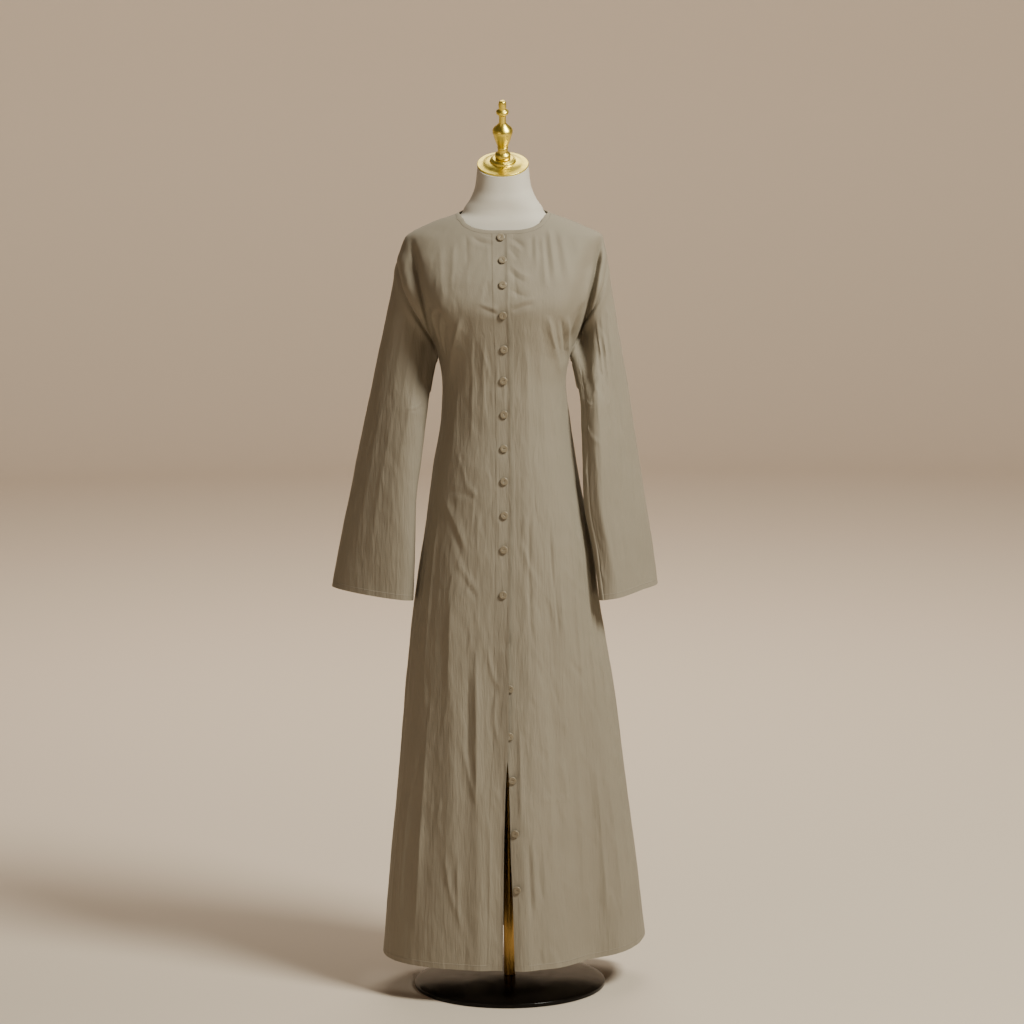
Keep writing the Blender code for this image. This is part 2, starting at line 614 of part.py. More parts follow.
def turned(name, profile, steps, finish, collection):
    """A turned solid about its own Z: the profile runs down its outer side and is closed at the axis."""
    line = [(0.0, profile[0][1]), *profile, (0.0, profile[-1][1])]
    mesh = bpy.data.meshes.new(name)
    mesh.from_pydata([(r, 0.0, z) for r, z in line], [(i, i + 1) for i in range(len(line) - 1)], [])
    obj = add_object(name, mesh, finish, collection)
    screw = obj.modifiers.new("Turn", "SCREW")
    screw.steps = steps
    screw.render_steps = steps
    screw.use_merge_vertices = True
    screw.merge_threshold = 0.00001
    screw.use_smooth_shade = True
    return obj


def button_profile():
    r, h = BUTTON_RADIUS, BUTTON_HEIGHT
    return ((0.55 * r, 0.62 * h), (0.80 * r, h), (0.96 * r, 0.80 * h), (r, 0.45 * h), (BUTTON_FOOT * r, 0.0))


def face_tree(obj):
    mesh = obj.data
    return BVHTree.FromPolygons([v.co for v in mesh.vertices], [p.vertices for p in mesh.polygons])


def make_buttons(upper, under, collection):
    """Sets each button just off the panel it is sewn to, and lets the loose ones hang tilted."""
    panels = {True: face_tree(upper), False: face_tree(under)}
    shared = None
    for number, (z, x, fastened) in enumerate(BUTTONS, start=1):
        start = Vector((x, -2.0 * ROBE_SECTIONS["front"][0], z))
        point, normal, _, _ = panels[fastened].ray_cast(start, Vector((0.0, 1.0, 0.0)))
        tilt = 0.0 if fastened or z > COVERED_ABOVE else UNDONE_TILT
        button = turned(f"button_{number:02d}", button_profile(), BUTTON_SIDES, "button_resin", collection)
        shared = shared or button.data
        button.data = shared
        button.location = point + (BUTTON_GAP + BUTTON_FOOT * BUTTON_RADIUS * math.sin(tilt)) * normal
        facing = Matrix.Rotation(tilt, 3, "X") @ normal
        button.rotation_euler = facing.to_track_quat("Z", "Y").to_euler()


def make_form(collection):
    """The form's torso and neck: a smooth loft of rounded sections, closed at both ends."""
    heights = np.asarray(FORM_SECTIONS["z"])
    turn = np.arange(FORM_SIDES) * 2.0 * math.pi / FORM_SIDES
    side, front = np.sin(turn), np.cos(turn)
    reach = (np.abs(side) ** ROUNDNESS + np.abs(front) ** ROUNDNESS) ** (-1.0 / ROUNDNESS)
    points = []
    for z, width, ahead, behind, slope in zip(*(FORM_SECTIONS[key] for key in FORM_SECTIONS)):
        x = width * reach * side
        y = -np.where(front > 0, ahead, behind) * reach * front
        points.append(np.stack([x, y, z + slope * y], axis=-1))
    count = len(heights)
    ring = np.arange(FORM_SIDES)
    following = (ring + 1) % FORM_SIDES
    faces = []
    for k in range(count - 1):
        low, high = k * FORM_SIDES, (k + 1) * FORM_SIDES
        faces += np.stack([low + ring, low + following, high + following, high + ring], axis=-1).tolist()
    faces.append(ring[::-1].tolist())
    faces.append(((count - 1) * FORM_SIDES + ring).tolist())
    mesh = bpy.data.meshes.new("form_torso")
    mesh.from_pydata(np.concatenate(points).tolist(), [], faces)
    mesh.shade_smooth()
    mesh.set_sharp_from_angle(angle=math.radians(50))
    add_object("form_torso", mesh, "form_cover", collection)


def make_neck_cap(collection):
    """The metal cap and its finial, square to the neck's leaning top."""
    lean = Euler((CAP_LEAN, 0.0, 0.0))
    out = lean.to_matrix() @ Vector((0.0, 0.0, 1.0))
    foot = Vector((0.0, 0.0, FORM_SECTIONS["z"][-1])) + CAP_GAP * out
    for name, profile in (("neck_cap", CAP_PROFILE), ("finial", FINIAL_PROFILE)):
        piece = turned(name, profile, TURNED_SIDES, "polished_gold_metal", collection)
        piece.location = foot
        piece.rotation_euler = lean


def make_stand(collection):
    base = turned("stand_base", BASE_PROFILE, BASE_SIDES, "black_gloss_paint", collection)
    base.location = (0.0, 0.0, 0.0)
    low = BASE_PROFILE[0][1] + STAND_GAP
    high = FORM_SECTIONS["z"][0] - STAND_GAP
    bpy.ops.mesh.primitive_cylinder_add(
        vertices=TURNED_SIDES, radius=POLE_RADIUS, depth=high - low, location=(0.0, 0.0, 0.5 * (low + high))
    )
    pole = bpy.context.active_object
    pole.name = "stand_pole"
    pole.data.materials.append(finish_of("polished_gold_metal"))
    pole.data.shade_smooth()
    pole.data.set_sharp_from_angle(angle=math.radians(50))
    for old in list(pole.users_collection):
        old.objects.unlink(pole)
    collection.objects.link(pole)


def main():
    clear_scene()
    collection = bpy.data.collections.new(COLLECTION)
    bpy.context.scene.collection.children.link(collection)
    make_stand(collection)
    make_form(collection)
    make_neck_cap(collection)
    upper, under = make_body(collection)
    make_binding(collection)
    for side in (-1, 1):
        make_sleeve(side, collection)
    make_buttons(upper, under, collection)


main()
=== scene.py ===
import math

import bpy
import numpy as np
from mathutils import Matrix


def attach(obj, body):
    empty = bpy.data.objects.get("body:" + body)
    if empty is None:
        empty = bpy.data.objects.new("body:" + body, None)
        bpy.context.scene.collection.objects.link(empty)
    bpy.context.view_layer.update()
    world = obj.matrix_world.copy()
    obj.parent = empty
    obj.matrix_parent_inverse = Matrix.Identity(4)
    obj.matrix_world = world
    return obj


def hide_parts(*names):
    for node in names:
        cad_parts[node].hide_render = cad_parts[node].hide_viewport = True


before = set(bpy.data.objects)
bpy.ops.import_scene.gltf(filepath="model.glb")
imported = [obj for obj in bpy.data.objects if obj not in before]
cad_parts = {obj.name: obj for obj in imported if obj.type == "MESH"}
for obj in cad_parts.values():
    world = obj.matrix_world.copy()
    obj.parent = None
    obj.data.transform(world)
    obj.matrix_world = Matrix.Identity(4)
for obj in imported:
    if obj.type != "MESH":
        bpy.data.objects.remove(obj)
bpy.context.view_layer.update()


# small helpers


def hexToLinear(hexColour):
    # sRGB hex to linear red, green, blue and alpha
    values = [int(hexColour[i:i + 2], 16) / 255 for i in (1, 3, 5)]
    return [v / 12.92 if v <= 0.04045 else ((v + 0.055) / 1.055) ** 2.4 for v in values] + [1.0]


def setNode(tree, node, settings=None, links=None):
    # a node's attributes or socket values, and the sockets that feed it, by name or number
    for key, value in (settings or {}).items():
        if isinstance(key, str) and hasattr(node, key):
            setattr(node, key, value)
        else:
            node.inputs[key].default_value = value
    for key, source in (links or {}).items():
        tree.links.new(source, node.inputs[key])
    return node


def addNode(tree, kind, settings=None, links=None):
    # one new node with its settings and the sockets that feed it
    return setNode(tree, tree.nodes.new(kind), settings, links)


def newMaterial(name):
    # the material, its nodes, its shader and the socket of its Object coordinates
    material = bpy.data.materials.new(name)
    material.use_nodes = True
    tree = material.node_tree
    place = addNode(tree, "ShaderNodeTexCoord").outputs["Object"]
    return material, tree, tree.nodes["Principled BSDF"], place


def smoothStep(t):
    # an even S from 0 to 1: 3 t^2 - 2 t^3
    t = np.clip(t, 0.0, 1.0)
    return t * t * (3.0 - 2.0 * t)


def fadeEnds(share, first, last):
    # from 0 up to 1 over the first part of a line, and back to 0 over its last part
    return smoothStep(share / first) * smoothStep((1.0 - share) / last)


def unitVectors(v):
    # each vector over its length
    return v / np.maximum(np.linalg.norm(v, axis=-1, keepdims=True), 1e-12)


def readTable(table, key, column, at):
    # cubic curve through a table's values that never overshoots them
    places = np.asarray(table[key], float)
    values = np.asarray(table[column], float)
    steps = np.diff(places)
    slopes = np.diff(values) / steps
    sameWay = slopes[:-1] * slopes[1:] > 0
    total = np.where(sameWay, slopes[:-1] + slopes[1:], 1.0)
    inner = np.where(sameWay, 2.0 * slopes[:-1] * slopes[1:] / total, 0.0)
    tangents = np.concatenate([[slopes[0]], inner, [slopes[-1]]])
    at = np.clip(at, places[0], places[-1])
    i = np.clip(np.searchsorted(places, at) - 1, 0, len(steps) - 1)
    t = (at - places[i]) / steps[i]
    rise = t * t * (3.0 - 2.0 * t)
    start = t * (1.0 - t) ** 2 * steps[i] * tangents[i]
    end = t * t * (t - 1.0) * steps[i] * tangents[i + 1]
    return values[i] + (values[i + 1] - values[i]) * rise + start + end


def roundTurns(count):
    # equal turns round a circle, in radians
    return np.arange(count) * 2.0 * math.pi / count


def roundReach(side, front, n):
    # a rounded section's reach r for a direction: |r side|^n + |r front|^n = 1
    return (np.abs(side) ** n + np.abs(front) ** n) ** (-1.0 / n)


def leanMatrix(angle):
    # a turn about the X axis
    c, s = math.cos(angle), math.sin(angle)
    return np.array([[1, 0, 0], [0, c, -s], [0, s, c]])


def placeMatrix(x, y, z, place):
    # a turned and moved place from its three axes
    return Matrix([[x[i], y[i], z[i], place[i]] for i in range(3)] + [[0.0, 0.0, 0.0, 1.0]])


def gridFaces(rows, columns, closed=False, start=0):
    # quads of a grid whose points run along the columns first
    index = start + np.arange(rows * columns).reshape(rows, columns)
    if closed:
        index = np.concatenate([index, index[:, :1]], axis=1)
    quads = np.stack([index[:-1, :-1], index[:-1, 1:], index[1:, 1:], index[1:, :-1]], axis=-1)
    return quads.reshape(-1, 4), index


def cappedFaces(rows, columns):
    # the quads of a tube and a face over each of its ends
    quads, index = gridFaces(rows, columns, closed=True)
    return [f for f in quads] + [index[0, :-1][::-1], index[-1, :-1]]


def meshPiece(name, points, faces, material, sharpAngle=None):
    # one smooth-shaded object at the origin from arrays of points and faces
    mesh = bpy.data.meshes.new(name)
    mesh.vertices.add(len(points))
    mesh.vertices.foreach_set("co", np.ascontiguousarray(points, np.float32).ravel())
    if isinstance(faces, np.ndarray):
        sizes, corners = np.full(len(faces), faces.shape[1], np.int32), faces.ravel()
    else:
        sizes, corners = np.array([len(f) for f in faces], np.int32), np.concatenate(faces)
    starts = np.cumsum(sizes) - sizes
    mesh.loops.add(len(corners))
    mesh.loops.foreach_set("vertex_index", corners.astype(np.int32))
    mesh.polygons.add(len(sizes))
    mesh.polygons.foreach_set("loop_start", starts.astype(np.int32))
    mesh.polygons.foreach_set("loop_total", sizes)
    mesh.update(calc_edges=True)
    mesh.validate()
    mesh.polygons.foreach_set("use_smooth", np.full(len(sizes), True))
    mesh.materials.append(material)
    if sharpAngle:
        mesh.set_sharp_from_angle(angle=math.radians(sharpAngle))
    piece = bpy.data.objects.new(name, mesh)
    bpy.context.scene.collection.objects.link(piece)
    return piece


def standFor(piece, node):
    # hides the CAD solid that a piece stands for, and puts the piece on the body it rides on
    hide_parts(node)
    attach(piece, "root")


def wallFaces(rows, columns, closed=False):
    # quads of a wall: the outer grid, the inner grid turned round, and the rims between them
    outer, index = gridFaces(rows, columns, closed)
    inner, _ = gridFaces(rows, columns, closed, rows * columns)
    behind = index + rows * columns
    low = np.stack([index[0, 1:], index[0, :-1], behind[0, :-1], behind[0, 1:]], axis=-1)
    high = np.stack([index[-1, :-1], index[-1, 1:], behind[-1, 1:], behind[-1, :-1]], axis=-1)
    parts = [outer, inner[:, ::-1], low, high]
    if not closed:
        parts.append(np.stack([index[:-1, 0], index[1:, 0], behind[1:, 0], behind[:-1, 0]], axis=-1))
        parts.append(np.stack([index[1:, -1], index[:-1, -1], behind[:-1, -1], behind[1:, -1]], axis=-1))
    return np.concatenate(parts)


def wallPiece(name, outer, inner, material, closed=False, edges=None):
    # a wall from its outer and inner grids; edges gives each point's distance from the finished edge
    # as a share of the turned cloth's depth, its distance from the row of stitches and along it
    rows, columns = outer.shape[:2]
    points = np.concatenate([outer.reshape(-1, 3), inner.reshape(-1, 3)])
    piece = meshPiece(name, points, wallFaces(rows, columns, closed), material, sharpAngle=60)
    far = np.full((rows, columns), 9.0)    # nowhere near an edge
    for key in ("turnedEdge", "stitchGap", "stitchRun"):
        attribute = piece.data.attributes.new(key, "FLOAT", "POINT")
        values = far if edges is None else edges[key]
        attribute.data.foreach_set("value", np.tile(values.ravel(), 2).astype(np.float32))
    return piece


# camera at the photograph's angle

camera = {
    "eye": (0.012, -6.5, 1.75), "pitch": 7.15, "roll": 0.47,
    "focal": 3385.0, "imageWidth": 1024.0,    # in pixels
    "sensor": 36.0,                           # in millimetres
}
pitch, roll = math.radians(camera["pitch"]), math.radians(camera["roll"])
forward = np.array([0.0, math.cos(pitch), -math.sin(pitch)])
level = np.array([1.0, 0.0, 0.0])
upright = np.cross(level, forward)
right = level * math.cos(roll) - upright * math.sin(roll)
up = upright * math.cos(roll) + level * math.sin(roll)
cameraData = bpy.data.cameras.new("photoCamera")
cameraData.sensor_width = camera["sensor"]
cameraData.lens = camera["sensor"] * camera["focal"] / camera["imageWidth"]
cameraData.clip_end = 60.0
cameraObject = bpy.data.objects.new("photoCamera", cameraData)
bpy.context.scene.collection.objects.link(cameraObject)
cameraObject.matrix_world = placeMatrix(right, up, -forward, camera["eye"])
bpy.context.scene.camera = cameraObject
print("camera set")


# materials

clothLook = {
    "colour": "#888070", "shadeColour": "#7f7768", "roughness": 0.80,
    "sheen": 0.12, "sheenRoughness": 0.40, "sheenTint": "#c9c2b0",
    "streakWidth": 0.0036, "streakHeight": 0.0016, "crushSize": 0.013, "crushHeight": 0.0009,
    "grainSize": 0.0016, "grainHeight": 0.00016, "turnedEdge": 0.0005,
    "calmFrom": 1.20, "calmTo": 1.42, "calmShare": 0.22,    # fewer creases over the chest
    "thread": "#6f6554", "threadWidth": 0.0005, "threadHeight": 0.0002,
    "stitch": 0.0032, "stitchShare": 0.74,
}


def makeCrepe(look):
    # crinkled polyester crepe: hard-twisted yarns, so it is matt with a faint lustre, finely
    # pebbled, and full of small upright creases that catch the light; the pebbles are drawn as
    # coarse as they need to show; turnedEdge is up to 1 where a hem or facing doubles the cloth,
    # and stitchGap and stitchRun lay one row of stitches beside its fold
    material, tree, shader, place = newMaterial("greigeCrinkleCrepe")
    upright = addNode(tree, "ShaderNodeMapping", {"Scale": (1.0, 1.0, 0.11)}, {"Vector": place})
    streak = addNode(tree, "ShaderNodeTexNoise", {
        "Scale": 0.5 / look["streakWidth"], "Detail": 2.0, "Roughness": 0.55, "Distortion": 0.4},
        {"Vector": upright.outputs[0]})
    leaning = addNode(tree, "ShaderNodeMapping", {
        "Rotation": (0.0, 0.35, 0.0), "Scale": (1.0, 1.0, 0.34)}, {"Vector": place})
    bend = addNode(tree, "ShaderNodeTexNoise", {"Scale": 38.0, "Detail": 2.0},
                   {"Vector": leaning.outputs[0]})
    bent = addNode(tree, "ShaderNodeMix", {"data_type": "VECTOR", "Factor": 0.022},
                   {4: leaning.outputs[0], 5: bend.outputs["Color"]})
    crush = addNode(tree, "ShaderNodeTexVoronoi", {"feature": "F1", "Scale": 1.0 / look["crushSize"]},
                    {"Vector": bent.outputs[1]})
    patch = addNode(tree, "ShaderNodeTexNoise", {"Scale": 9.0, "Detail": 2.0}, {"Vector": place})
    mask = addNode(tree, "ShaderNodeMapRange", {"From Min": 0.40, "From Max": 0.62},
                   {"Value": patch.outputs[0]})
    height = addNode(tree, "ShaderNodeSeparateXYZ", {}, {"Vector": place})
    calm = addNode(tree, "ShaderNodeMapRange", {
        "From Min": look["calmTo"], "From Max": look["calmFrom"], "To Min": look["calmShare"]},
        {"Value": height.outputs["Z"]})
    product = {"operation": "MULTIPLY"}
    crushed = addNode(tree, "ShaderNodeMath", product, {0: crush.outputs["Distance"], 1: mask.outputs[0]})
    crushedCalm = addNode(tree, "ShaderNodeMath", product, {0: crushed.outputs[0], 1: calm.outputs[0]})
    streakCalm = addNode(tree, "ShaderNodeMath", product, {0: streak.outputs[0], 1: calm.outputs[0]})
    grain = addNode(tree, "ShaderNodeTexNoise", {"Scale": 1 / look["grainSize"], "Detail": 1.0},
                    {"Vector": place})
    edge = addNode(tree, "ShaderNodeAttribute", {"attribute_name": "turnedEdge"})
    doubled = addNode(tree, "ShaderNodeMapRange", {
        "interpolation_type": "SMOOTHSTEP", "From Min": 0.90, "From Max": 1.04, "To Min": 1.0, "To Max": 0.0},
        {"Value": edge.outputs["Fac"]})
    gap = addNode(tree, "ShaderNodeAttribute", {"attribute_name": "stitchGap"})
    onLine = addNode(tree, "ShaderNodeMath", {"operation": "COMPARE", 1: 0.0, 2: 0.5 * look["threadWidth"]},
                     {0: gap.outputs["Fac"]})
    run = addNode(tree, "ShaderNodeAttribute", {"attribute_name": "stitchRun"})
    count = addNode(tree, "ShaderNodeMath", {"operation": "DIVIDE", 1: look["stitch"]},
                    {0: run.outputs["Fac"]})
    within = addNode(tree, "ShaderNodeMath", {"operation": "FRACT"}, {0: count.outputs[0]})
    above = addNode(tree, "ShaderNodeMath", {"operation": "LESS_THAN", 1: look["stitchShare"]},
                    {0: within.outputs[0]})
    stitch = addNode(tree, "ShaderNodeMath", product, {0: onLine.outputs[0], 1: above.outputs[0]})
    layers = ((stitch, "threadHeight"), (grain, "grainHeight"), (streakCalm, "streakHeight"),
              (crushedCalm, "crushHeight"), (doubled, "turnedEdge"))
    beneath = {}
    for layer, key in layers:
        bump = addNode(tree, "ShaderNodeBump", {"Strength": 1.0, "Distance": look[key]},
                       {"Height": layer.outputs[0], **beneath})
        beneath = {"Normal": bump.outputs[0]}
    tone = addNode(tree, "ShaderNodeMix", {
        "data_type": "RGBA", 6: hexToLinear(look["shadeColour"]), 7: hexToLinear(look["colour"])},
        {0: patch.outputs[0]})
    sewn = addNode(tree, "ShaderNodeMix", {"data_type": "RGBA", 7: hexToLinear(look["thread"])},
                   {0: stitch.outputs[0], 6: tone.outputs[2]})
    setNode(tree, shader, {
        "Roughness": look["roughness"], "Sheen Weight": look["sheen"],
        "Sheen Roughness": look["sheenRoughness"], "Sheen Tint": hexToLinear(look["sheenTint"])},
        {"Base Color": sewn.outputs[2], **beneath})
    return material


def makeResin():
    # cast polyester button, dyed to the cloth's colour and set a little darker than the cloth as painted
    # shade on its small dome: smooth, with a satin shine and faint clouding
    material, tree, shader, place = newMaterial("dyedResinWithPaintedShade")
    cloud = addNode(tree, "ShaderNodeTexNoise", {"Scale": 260.0, "Detail": 2.0}, {"Vector": place})
    # both tones are darker than the cloth's: painted shade over the dye, mixed by faint clouding
    tone = addNode(tree, "ShaderNodeMix", {
        "data_type": "RGBA", 6: hexToLinear("#776c59"), 7: hexToLinear("#877c68")}, {0: cloud.outputs[0]})
    setNode(tree, shader, {"Roughness": 0.34, "IOR": 1.54}, {"Base Color": tone.outputs[2]})
    return material


def makeJersey():
    # off-white cotton jersey drawn tight over the form: a soft, even, fine knit
    material, tree, shader, place = newMaterial("offWhiteCottonJersey")
    knit = addNode(tree, "ShaderNodeTexNoise", {"Scale": 700.0, "Detail": 1.0}, {"Vector": place})
    soft = addNode(tree, "ShaderNodeTexNoise", {"Scale": 16.0, "Detail": 2.0}, {"Vector": place})
    bump = addNode(tree, "ShaderNodeBump", {"Strength": 0.5, "Distance": 0.0003},
                   {"Height": knit.outputs[0]})
    tone = addNode(tree, "ShaderNodeMix", {
        "data_type": "RGBA", 6: hexToLinear("#bdb7aa"), 7: hexToLinear("#c9c3b6")}, {0: soft.outputs[0]})
    setNode(tree, shader, {"Roughness": 0.75, "Sheen Weight": 0.08},
            {"Normal": bump.outputs[0], "Base Color": tone.outputs[2]})
    return material


def makeGlossy(name, colour, marks, markRange, roughness, settings, stretch=1.0):
    # a polished finish whose roughness wanders between two values with faint marks, which
    # stretch draws out along the piece
    material, tree, shader, place = newMaterial(name)
    drawn = addNode(tree, "ShaderNodeMapping", {"Scale": (1.0, 1.0, stretch)}, {"Vector": place})
    noise = addNode(tree, "ShaderNodeTexNoise", marks, {"Vector": drawn.outputs[0]})
    rough = addNode(tree, "ShaderNodeMapRange", {
        "From Min": markRange[0], "From Max": markRange[1], "To Min": roughness[0], "To Max": roughness[1]},
        {"Value": noise.outputs[0]})
    setNode(tree, shader, {"Base Color": hexToLinear(colour), **settings}, {"Roughness": rough.outputs[0]})
    return material


# the cap and finial: steel plated in polished gold colour, mirror-like with faint wiping marks
gold = makeGlossy("goldPlatedSteel", "#f0da62", {"Scale": 90.0, "Detail": 4.0}, (0.3, 0.7), (0.26, 0.38),
                  {"Metallic": 1.0})
# the pole's plating: browner and duller than the cap's, with fine draw marks along it
poleGold = makeGlossy("agedGoldSteel", "#a07f45", {"Scale": 900.0, "Detail": 2.0}, (0.3, 0.7), (0.22, 0.34),
                      {"Metallic": 1.0}, 0.03)
# black gloss lacquer on steel: deep and even, with a thin film of dust
blackPaint = makeGlossy("blackGlossLacquer", "#0e0b08", {"Scale": 40.0, "Detail": 5.0}, (0.35, 0.75),
                        (0.14, 0.26), {"IOR": 1.22})
crepe = makeCrepe(clothLook)
resin = makeResin()
jersey = makeJersey()
print("materials made")


# the robe's outer face

robe = {
    "wall": 0.0015, "seamGap": 0.0003, "bindingWall": 0.0024, "underGap": 0.0008, "roundness": 2.3,
    "hemDepth": 0.011, "facingDepth": 0.030, "stitchIn": 0.0015, "edgeCurl": 0.0016, "curlWidth": 0.0035,
    "liftWidth": 0.030, "buttonDip": 0.011, "dipDepth": 0.0009, "overlapStart": 0.016, "overlapEnd": 0.042,
    "foldFade": 0.28, "creaseFade": 0.3, "faceFade": 0.30,
    "seamDipWidth": 0.0024, "seamDip": -0.0012, "calmBelowNeck": 0.02,
    "shoulderTilt": 55, "tiltFrom": 1.38, "tiltOver": 0.13, "tiltFlat": 1.35,
    "maxFill": 0.98,    # most of its flat rectangle that a piece may fill
    "detail": 11,       # rows for each row of the solid
    "across": 7,        # columns for each column of the solid's fronts
    "acrossBack": 5,    # and of its back
    "sideRows": 18, "armholeRows": 10, "frontNeckColumns": 11, "backNeckColumns": 12, "shoulderColumns": 9,
}
sections = {
    "z": (0.060, 0.240, 0.410, 0.590, 0.765, 0.890, 1.020, 1.120, 1.185, 1.236, 1.265,
          1.300, 1.335, 1.380, 1.420, 1.444, 1.467, 1.487, 1.499, 1.514, 1.535),
    "left": (0.2492, 0.2327, 0.2152, 0.1976, 0.1770, 0.1580, 0.1403, 0.1235, 0.1200, 0.1270,
             0.1400, 0.1620, 0.1830, 0.2010, 0.2046, 0.1976, 0.1881, 0.1551, 0.1265, 0.0845, 0.0600),
    "right": (0.2720, 0.2515, 0.2300, 0.2060, 0.1775, 0.1625, 0.1393, 0.1245, 0.1180, 0.1260,
              0.1390, 0.1600, 0.1800, 0.1970, 0.1990, 0.1955, 0.1900, 0.1525, 0.1245, 0.0848, 0.0600),
    "front": (0.1700, 0.1630, 0.1550, 0.1460, 0.1380, 0.1310, 0.1235, 0.1165, 0.1165, 0.1205,
              0.1240, 0.1300, 0.1350, 0.1235, 0.1040, 0.0910, 0.0790, 0.0680, 0.0600, 0.0500, 0.0400),
    "back": (0.1650, 0.1580, 0.1500, 0.1420, 0.1340, 0.1265, 0.1070, 0.0930, 0.0940, 0.0990,
             0.1010, 0.1030, 0.1040, 0.1040, 0.1000, 0.0955, 0.0900, 0.0815, 0.0760, 0.0690, 0.0580),
    "swept": (0.060, 0.045, 0.030, 0.015, 0.005, 0.0, 0.0, 0.0, 0.0, 0.0, 0.0,
              0.0, 0.0, 0.0, 0.0, 0.0, 0.0, 0.0, 0.0, 0.0, 0.0),
}
hem = {
    "angle": (-180, -120, -90, -60, 0, 35, 55, 75, 90, 120, 180),
    "z": (0.072, 0.072, 0.0715, 0.0705, 0.0695, 0.069, 0.078, 0.086, 0.089, 0.082, 0.072),
}
neckline = {
    "angle": (0, 8, 18, 28, 40, 65, 90, 120, 150, 180),
    "z": (1.4820, 1.4820, 1.4855, 1.4935, 1.5035, 1.5118, 1.5140, 1.5190, 1.5260, 1.5290),
    "drop": (0.0068, 0.0068, 0.0062, 0.0054, 0.0044, 0.0030, 0.0026, 0.0040, 0.0062, 0.0070),
}
armholeLine = {
    "step": (0, 1, 2, 3, 4, 5, 6, 7),
    "angle": (90, 83, 77, 73, 72, 74, 80, 90),
    "z": (1.236, 1.242, 1.260, 1.295, 1.335, 1.378, 1.408, 1.420),
}
closure = {
    "z": (0.060, 0.200, 0.300, 0.435, 0.512, 0.600, 0.690, 0.780, 0.900, 1.070, 1.260, 1.353, 1.482),
    "upper": (-0.0136, -0.0105, -0.0087, -0.0037, 0.0017, 0.0034, 0.0041, 0.0068, 0.0097, 0.0111,
              0.0098, 0.0077, 0.0069),
    "under": (0.0105, 0.0075, 0.0042, 0.0021, -0.0045, -0.0110, -0.0140, -0.0140, -0.0130, -0.0120,
              -0.0120, -0.0120, -0.0120),
    "lift": (0.0, 0.0, 0.0, 0.0015, 0.0050, 0.0060, 0.0055, 0.0015, 0.0, 0.0, 0.0, 0.0, 0.0),
}
# height, place across and whether the button is fastened
buttonPlaces = (
    (1.4680, -0.0050, True), (1.4262, -0.0020, True), (1.3806, -0.0018, True),
    (1.3244, -0.0021, True), (1.2596, -0.0008, True), (1.1994, -0.0022, True),
    (1.1352, -0.0016, True), (1.0705, -0.0024, True), (1.0087, -0.0025, True),
    (0.9442, -0.0025, True), (0.8789, -0.0040, True), (0.7929, -0.0060, True),
    (0.6977, -0.0030, False), (0.6125, 0.0050, False), (0.5212, 0.0037, False),
    (0.4373, 0.0085, False), (0.3356, 0.0132, False), (0.2275, 0.0162, False),
)
# large folds on each face, in millimetres: x and z at the top, x and z at the bottom, half width,
# height at the top and at the bottom
largeFolds = {
    "front": (
        (-184, 1470, -122, 1215, 18, -16, -24),
        (182, 1475, 118, 1215, 22, -22, -30),
        (-181, 1490, -121, 1200, 6.5, -8, -22),
        (193, 1492, 132, 1195, 7, -12, -36),
        (140, 800, 178, -250, 50, -4, -60),
        (-98, 950, -112, 180, 20, 4, 6),
        (-52, 760, -60, -100, 18, 4, 6),
        (76, 900, 100, 100, 20, -3, -8),
        (24, 520, 26, -200, 24, 2, 16),
    ),
    "back": (
        (-172, 1460, -118, 1215, 24, -10, -16),
        (170, 1460, 116, 1215, 24, -10, -16),
        (-150, 980, -190, -200, 30, 2, 26),
        (-78, 900, -100, -200, 26, -2, -30),
        (-12, 960, -15, -200, 30, 3, 22),
        (60, 880, 78, -200, 26, -2, -30),
        (128, 960, 168, -200, 30, 2, 26),
    ),
}
